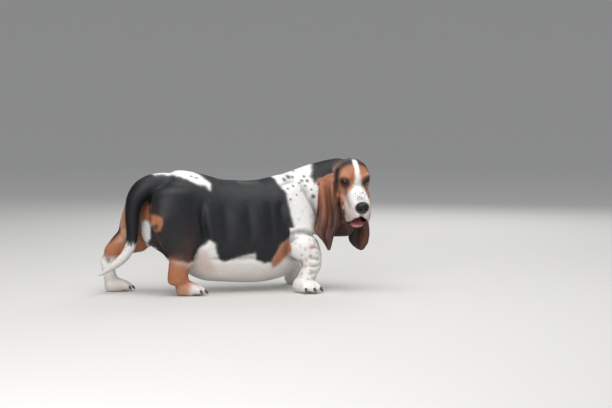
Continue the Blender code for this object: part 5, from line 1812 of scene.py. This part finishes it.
EYE_SURFACE = surface("wet_eye", "Coat", 900.0, 0.0, 0.08, vary=0.05)
shine(EYE_SURFACE, Coat_Weight=0.6, Specular_IOR_Level=0.2, Coat_Roughness=0.03)
FLESH_SURFACE = surface("wet_flesh", "Coat", 700.0, 0.25, 0.28)
shine(FLESH_SURFACE, Coat_Weight=0.4)
for side, word in ((-1, "right"), (1, "left")):
    eye(side, "eye_" + word)
    haw(side, "haw_" + word)

# %% Nose leather and tongue
NOSE = [
    (92, 0, -33, 9, 10, 11, 11),
    (102, 0, -33, 14, 16, 18, 18, 2.2),
    (112, 0, -34, 14, 17, 19, 19, 2.2),
    (119, 0, -37, 10, 13, 15, 15),
]
NOSTRIL = [
    (130, -7, -36, 4.5, 3.8, 4.6, 4.0),
    (118, -9, -36, 4.2, 3.6, 4.6, 4.0),
    (108, -8, -35, 3.0, 3.0, 3.4, 3.0),
]
NOSTRIL_SLIT = [
    (126, -13, -37, 1.6, 1.6, 4.0, 5.0),
    (116, -16, -38, 1.6, 1.6, 4.0, 6.0),
    (108, -17, -39, 1.4, 1.4, 3.0, 4.0),
]
TONGUE = [
    (20, -2, -98, 4, 5, 13, 13),
    (50, -2, -104, 5, 5, 18, 18),
    (78, -2, -107, 5, 5, 20, 20),
    (92, -2, -108, 4, 4, 14, 14),
]
NOSE_BLACK = (0.009, 0.010, 0.012)
# Painted shade inside the nostrils.
NOSTRIL_PAINTED_SHADE = (0.003, 0.003, 0.003)
TONGUE_PINK = (0.62, 0.22, 0.24)
LEATHER_VOXEL = 0.6 * MM


def pebbled(name):
    """Wet leather: the bump is the distance to the nearest of many cell middles, about 1.4 mm apart."""
    material = surface(name, "Coat", 400.0, 0.15, 0.46)
    shine(material, Specular_IOR_Level=0.22, Coat_Weight=0.25)
    cells = new_node(material, "TexVoronoi", Scale=700.0)
    place = new_node(material, "TexCoord")
    dent = new_node(material, "Bump", Strength=0.55, Distance=0.6 * MM)
    dent.invert = True
    join = material.node_tree.links.new
    join(place.outputs["Object"], cells.inputs["Vector"])
    join(cells.outputs["Distance"], dent.inputs["Height"])
    join(dent.outputs["Normal"], material.node_tree.nodes["Principled BSDF"].inputs["Normal"])
    return material


nose = new_object("nose", new_mesh("nose", *on_head(NOSE, 30, 48)))
for rows in (NOSTRIL, mirrored(NOSTRIL), NOSTRIL_SLIT, mirrored(NOSTRIL_SLIT)):
    cut(nose, on_head(rows, 12, 20))
shape = mesh_form(nose.data)
bpy.data.objects.remove(nose)
nose = melted("nose", shape, LEATHER_VOXEL)
points, edges = points_of(nose.data), edges_of(nose.data)
set_points(nose.data, relaxed(points, edges, np.full(len(points), 0.5), 6))
crease(nose.data, from_head([(118, 0, -42), (118, 0, -48), (112, 0, -54)]), 1.3 * MM, 1.6 * MM, roll=0.2)
places = head_places(points_of(nose.data))
inside = np.zeros(len(places))
for side in (-1, 1):
    away = np.hypot((places[:, 1] - side * 9) / 4.4, (places[:, 2] + 36) / 4.2)
    inside = np.maximum(inside, soft(away - 1.0, 0.3) * (places[:, 0] < 119))
leather = np.tile(np.array(NOSE_BLACK), (len(places), 1))
set_colours(nose.data, "Coat", painted(leather, inside, NOSTRIL_PAINTED_SHADE))
finished(nose, pebbled("nose_leather"), ["nose"])

tongue = new_object("tongue_form", new_mesh("tongue", *on_head(TONGUE, 40, 48)))
places = head_places(points_of(tongue.data))
groove = np.exp(-(((places[:, 1] - places[:, 2] * SWING - 4) / 2.6) ** 2)) * soft(-(places[:, 2] + 106), 3)
places[:, 2] -= 1.8 * groove
set_points(tongue.data, carried(places * MM, HEAD))
wave = 1 + 0.10 * cloud(places, 6, 3)[:, None]
set_colours(tongue.data, "Coat", np.clip(np.array(TONGUE_PINK) * wave, 0, 1))
finished(tongue, FLESH_SURFACE, ["tongue"])
tongue.name = "tongue_flesh"

# %% Claws
CLAW_HORN = (0.055, 0.042, 0.036)
CLAW_TIP = (0.20, 0.16, 0.13)
CLAW_SURFACE = surface("horn", "Coat", 500.0, 0.12, 0.36, vary=0.2)
for paw in PAWS:
    forms = [in_paw(paw, ray_rows(CLAW_ARC, *toe), rings=14, sides=16) for toe in TOES]
    item = new_object("claws_" + paw, new_mesh("claws_" + paw, *together(forms)))
    points = points_of(item.data)
    tip = np.clip((0.012 - points[:, 2]) / 0.008, 0, 1)
    horn = np.tile(np.array(CLAW_HORN), (len(points), 1))
    set_colours(item.data, "Coat", painted(horn, tip, CLAW_TIP))
    finished(item, CLAW_SURFACE, [f"claw_{paw}_{k}" for k in (1, 2, 3, 4)])

# %% [markdown]
# ## The coat
# A basset's hair is short, hard and close. Hair curves would be the usual choice, but they are not mesh,
# so small closed tufts stand for a few hairs each: a kite with a low ridge, its root in the skin and its
# middle and tip laid on it, so no tuft cuts through a fold. Roots are drawn evenly over the skin's area
# and tufts follow the lie of the hair. They shade by the skin's own normals, leaned outwards a little at
# their edges, so a sleek coat catches the light as one surface.

# %% Length, width and lift of the tufts in millimetres, and square millimetres to each
TUFT_SHARE = 1.0
MOST_TUFTS = 33000
PATCH = 0.003
HAIR = {
    "trunk": (6.5, 1.05, 0.30, 4.4),
    "throat": (8.5, 1.1, 0.60, 4.4),
    "tail": (10.0, 1.1, 0.80, 3.6),
    "hind_right": (8.0, 1.1, 0.45, 4.4),
    "hind_left": (8.0, 1.1, 0.45, 4.4),
    "fore_right": (7.0, 1.0, 0.45, 4.2),
    "fore_left": (7.0, 1.0, 0.45, 4.2),
    "head": (4.4, 0.75, 0.25, 1.7),
    "ear_right": (7.0, 1.0, 0.32, 2.6),
    "ear_left": (7.0, 1.0, 0.32, 2.6),
}
draw = np.random.default_rng(20)


# %% Roots of the tufts
def skin_corners():
    """Corner numbers of the skin's triangles."""
    return mesh_form(skin.data)[2]


def drawn_roots(area, count):
    """Roots spread evenly over the faces: a face is drawn by its area, and the place in it by two
    random shares folded back into the triangle."""
    face = draw.choice(len(area), size=count, p=area / area.sum())
    u, v = draw.random(count), draw.random(count)
    over = u + v > 1
    u[over], v[over] = 1 - u[over], 1 - v[over]
    return face, np.stack([1 - u - v, u, v], axis=1)


def rooted(kind, faces, ground):
    """Where one kind of tuft stands on the given faces of the skin, without those on bare places, under
    the soles and on the ears' thin rims: root, normal, bareness, hollow, region, along, turn and lie."""
    corner = ground.points[ground.corners[faces]]
    area = np.linalg.norm(np.cross(corner[:, 1] - corner[:, 0], corner[:, 2] - corner[:, 0]), axis=1) / 2
    count = int(min(MOST_TUFTS, area.sum() / (HAIR[kind][3] * MM * MM)) * TUFT_SHARE)
    face, weight = drawn_roots(area, count)
    chosen = ground.corners[faces[face]]
    roots = (ground.points[chosen] * weight[..., None]).sum(axis=1)
    outs = unit((ground.normals[chosen] * weight[..., None]).sum(axis=1))
    bare = (ground.bare[chosen] * weight).sum(axis=1)
    hollow = (ground.hollow[chosen] * weight).sum(axis=1)
    keep = (bare < 0.5) & ~((roots[:, 2] < 2.5 * MM) & (outs[:, 2] < -0.5))
    roots, outs, bare, hollow = roots[keep], outs[keep], bare[keep], hollow[keep]
    region, along, turn, way = whereabouts(roots, outs)
    found = (roots, outs, bare, hollow, region, along, turn, way)
    if kind.startswith("ear"):
        across = (2 * turn) % 1.0
        keep = (across > 0.03) & (across < 0.95) & (along < 0.985)
        found = tuple(values[keep] for values in found)
    return found


# %% Blades
TUFT_FACES = np.array([(0, 2, 1), (0, 3, 2), (1, 2, 4), (2, 3, 4), (0, 1, 3), (1, 4, 3)])
TUFT_POINTS = 5
# Painted shade along each tuft, at root, left, ridge, right and tip: darker at the root and the edges than on
# the ridge, and a little lighter at the tip.
TUFT_PAINTED_SHADING = np.array([0.86, 0.94, 1.0, 0.94, 1.03])
TUFT_PATCH = np.array([(0.5, 0), (0, 0.4), (0.5, 0.4), (1, 0.4), (0.5, 1)]) * PATCH
EDGE_LEAN = 0.45


def blades(roots, normals, ways, length, width, lift):
    """Five points a tuft: root, left, ridge, right and tip. The widest place, at 0.4 of the length, and
    the tip are laid on the skin, then the ridge is raised by the lift and the tip by 0.8 of it."""
    side = np.cross(ways, normals) * width[:, None] * 0.5
    middle = snapped(roots + ways * length[:, None] * 0.4, skin)
    tip = snapped(middle + (ways + 0.05 * normals) * length[:, None] * 0.6, skin)
    high = normals * lift[:, None]
    sunk = 0.15 * MM * normals
    left, right = middle - side - sunk, middle + side - sunk
    return np.stack([roots - sunk, left, middle + high, right, tip + 0.8 * high], axis=1)


def sleek(mesh, outs, ways):
    """Each tuft shades by the skin's normal, leaned outwards at its edges and forwards at its tip."""
    aside = EDGE_LEAN * np.cross(ways, outs)
    lean = np.stack([outs, outs - aside, outs, outs + aside, outs + 0.2 * ways], axis=1)
    mesh.shade_smooth()
    mesh.normals_split_custom_set_from_vertices(unit(lean.reshape(-1, 3)))


def chart_of(mesh, turn, along, corners):
    """The map of the coat: each tuft is a small patch at its root's place on an unwrap of the skin, which
    is the turn round the middle line by the place along it, stretched to fill the square."""
    square = np.stack([turn, along], axis=1)
    low, high = square.min(axis=0), square.max(axis=0)
    square = 0.004 + 0.989 * (square - low) / np.maximum(high - low, 1e-6)
    spread = (square[:, None] + TUFT_PATCH[None]).reshape(-1, 2)
    chart = mesh.uv_layers.new(name="OFBake")
    chart.uv.foreach_set("vector", spread[corners.ravel()].astype(np.float32).ravel())


def coat_piece(name, kind, faces, ground):
    """One mesh of tufts over the given faces of the skin. Each is turned up to some degrees from the
    lie, smaller on the face, the paws and near bare places, and coloured as the skin is at 0.3 and
    0.85 of its length, with painted shade at its root and edges and in the skin's hollows."""
    length, width, lift, _ = HAIR[kind]
    roots, outs, bare, hollow, region, along, turn, way = rooted(kind, faces, ground)
    near = markings(roots + 0.3 * length * MM * way, outs, region, along, turn)
    far = markings(roots + 0.85 * length * MM * way, outs, region, along, turn)
    count = len(roots)
    stray = np.radians(9) * draw.normal(size=count) + 0.16 * cloud(roots, 9 * MM, 77)
    ways = np.cos(stray)[:, None] * way + np.sin(stray)[:, None] * np.cross(outs, way)
    bright = 1 + 0.10 * draw.normal(size=count) + 0.07 * cloud(roots, 5 * MM, 78)
    in_face = np.clip((135 - np.linalg.norm(head_places(roots) - np.array([40, 0, -50]), axis=1)) / 60, 0, 1)
    in_paws = np.clip((0.05 - roots[:, 2]) / 0.02, 0, 1)
    size = (1 - 0.35 * np.maximum(in_face * (kind == "throat"), in_paws)) * (0.8 + 0.4 * draw.random(count))
    size = size * (1 - 0.5 * np.clip(bare * 2, 0, 1))
    ruffle = 1 + 0.6 * np.clip(cloud(roots, 13 * MM, 79), 0, 1)
    lift = lift * MM * size * ruffle
    tufts = blades(roots, outs, ways, length * MM * size, width * MM * np.sqrt(size), lift)
    corners = (TUFT_FACES[None] + TUFT_POINTS * np.arange(count)[:, None, None]).reshape(-1, 3)
    item = new_object(name, new_mesh(name, tufts.reshape(-1, 3), corners))
    # Painted shade in the skin's hollows darkens the tufts that stand there.
    bright = np.clip(bright, 0.6, 1.4) * (1 - CREASE_SHADE * np.clip(hollow, 0, 1))
    shade = bright[:, None] * TUFT_PAINTED_SHADING
    hair = np.stack([near, near, near, near, far], axis=1)
    set_colours(item.data, "Coat", np.clip(hair * shade[..., None], 0, 1).reshape(-1, 3))
    sleek(item.data, outs, ways)
    chart_of(item.data, turn, along, corners)
    finished(item, HAIR_SURFACE)
    return count


HAIR_SURFACE = surface("short_hair", "Coat", 1200.0, 0.0, 0.40, vary=0.08)
shine(HAIR_SURFACE, Specular_IOR_Level=0.35, Sheen_Weight=0.05)
SKIN_SURFACE = surface("skin", "Coat", 650.0, 0.35, 0.56, wet_roughness=0.25)

# %% Bare places: lips and mouth, the eyes' openings and the nose
points, normals = points_of(skin.data), normals_of(skin.data)
in_head = region == REGIONS.index("head")
gap = np.full(len(points), 1.0)
gap[in_head] = mouth_gap(points[in_head])
bare = soft(gap / MM - 1.8, 0.8)
for side in (-1, 1):
    local = carried(points, eye_matrix(side).inverted()) / EYE_RADIUS
    away = np.linalg.norm(local - np.array([0.35, 0, 0]), axis=1)
    bare = np.maximum(bare, soft(away - 1.12, 0.12))
leather = np.linalg.norm((head_places(points) - np.array([108, 0, -35])) / np.array([16, 24, 21]), axis=1)
bare = np.maximum(bare, soft(leather - 1.0, 0.1))
set_value(skin.data, "Wet", np.clip(bare, 0, 1))
corners = skin_corners()
ground = SimpleNamespace(corners=corners, points=points, normals=normals, hollow=hollow, bare=bare)

# %% The pieces of the coat
middle = points[corners].mean(axis=1)
face_region = region[corners[:, 0]]
made = 0
for kind in REGIONS:
    mine = np.nonzero(face_region == REGIONS.index(kind))[0]
    parts = {"": np.ones(len(mine), bool)}
    right = middle[mine, 1] < 0
    if kind == "trunk":
        back = middle[mine, 0] < 0.03
        parts = {
            "_right_back": right & back, "_right_front": right & ~back,
            "_left_back": ~right & back, "_left_front": ~right & ~back,
        }
    if kind == "head":
        right = head_places(middle[mine])[:, 1] < 0
        parts = {"_right": right, "_left": ~right}
    for word, chosen in parts.items():
        if chosen.sum() > 50:
            count = coat_piece("coat_" + kind + word, kind, mine[chosen], ground)
            made += count
            print("coat_" + kind + word, count, "tufts")
print("tufts in all:", made)
bpy.data.objects.remove(mouth_form)
FLESH = (
    "torso", "neck", "head", "tail", "hind_leg_right", "hind_leg_left", "foreleg_right", "foreleg_left",
    "ear_right", "ear_left",
)
finished(skin, SKIN_SURFACE, FLESH)

# %% [markdown]
# ## Floor, light and camera
# A museum's pale floor and a soft sky of light: one wide lamp above, one from the front left and a weak
# one behind, with an even pale background that fills the shadows. A flat floor would end in a hard line
# against that background, so it is a wide dish whose rim climbs out of the view, as a studio's curved
# backdrop does. The camera stands at the place that the photograph was taken from, 20 degrees round
# towards the tail and 4 degrees up, seven metres away through a long lens.

# %% Floor
def dish(flat, reach, height, rings=40, sides=128):
    """A round floor: its points, its quads and the flat middle. The rim's height at a share c of its
    width is the whole height times 3 c^2 - 2 c^3."""
    climb = np.linspace(0, 1, rings)[:, None]
    turn = np.linspace(0, 2 * np.pi, sides, endpoint=False)[None, :]
    radius = flat + (reach - flat) * climb
    rise = height * climb * climb * (3 - 2 * climb) + 0 * turn
    points = np.stack([radius * np.cos(turn), radius * np.sin(turn), rise], axis=2).reshape(-1, 3)
    inner = np.arange(rings - 1)[:, None] * sides + np.arange(sides)
    beside = np.arange(rings - 1)[:, None] * sides + (np.arange(sides) + 1) % sides
    quads = np.stack([inner, inner + sides, beside + sides, beside], axis=2).reshape(-1, 4)
    return points, quads, np.arange(sides)[None, :]


FLOOR_FLAT, FLOOR_REACH, RIM_HEIGHT = 8.0, 26.0, 6.0
floor = new_object("floor", new_mesh("floor", *dish(FLOOR_FLAT, FLOOR_REACH, RIM_HEIGHT)))
pale = bpy.data.materials.new("pale_floor")
pale.use_nodes = True
shine(pale, Base_Color=(0.66, 0.645, 0.62, 1.0), Roughness=0.85)
floor.data.materials.append(pale)

# %% Light
world = bpy.data.worlds.new("studio")
bpy.context.scene.world = world
world.use_nodes = True
background = world.node_tree.nodes["Background"]
background.inputs["Color"].default_value = (0.86, 0.89, 0.93, 1.0)
background.inputs["Strength"].default_value = 0.42
LOOK_AT = Vector((0.0, 0.0, 0.20))
LAMPS = (
    ("sky", (0.0, -0.5, 3.0), 74.0, 3.0),
    ("front", (-1.6, -3.0, 1.7), 54.0, 1.8),
    ("back", (1.8, 2.6, 1.8), 26.0, 1.6),
)
for name, place, power, size in LAMPS:
    lamp = bpy.data.lights.new(name, "AREA")
    lamp.energy = power
    lamp.size = size
    item = bpy.data.objects.new(name, lamp)
    bpy.context.scene.collection.objects.link(item)
    item.location = place
    item.rotation_euler = (LOOK_AT - Vector(place)).to_track_quat("-Z", "Y").to_euler()

# %% Camera
SENSOR = 36.0
lens = bpy.data.cameras.new("camera")
lens.sensor_width = SENSOR
lens.lens = FOCAL_PIXELS / PHOTO_WIDTH * SENSOR
lens.clip_start, lens.clip_end = 0.1, 100.0
camera = bpy.data.objects.new("camera", lens)
bpy.context.scene.collection.objects.link(camera)
camera.location = Vector(SHIFT + VIEWPOINT)
camera.rotation_mode = "QUATERNION"
camera.rotation_quaternion = (-Vector(VIEW_BACK)).to_track_quat("-Z", "Y")
bpy.context.scene.camera = camera
bpy.context.scene.view_settings.view_transform = "Standard"
print("camera at", [round(v, 3) for v in camera.location], "lens", round(lens.lens, 1), "mm")
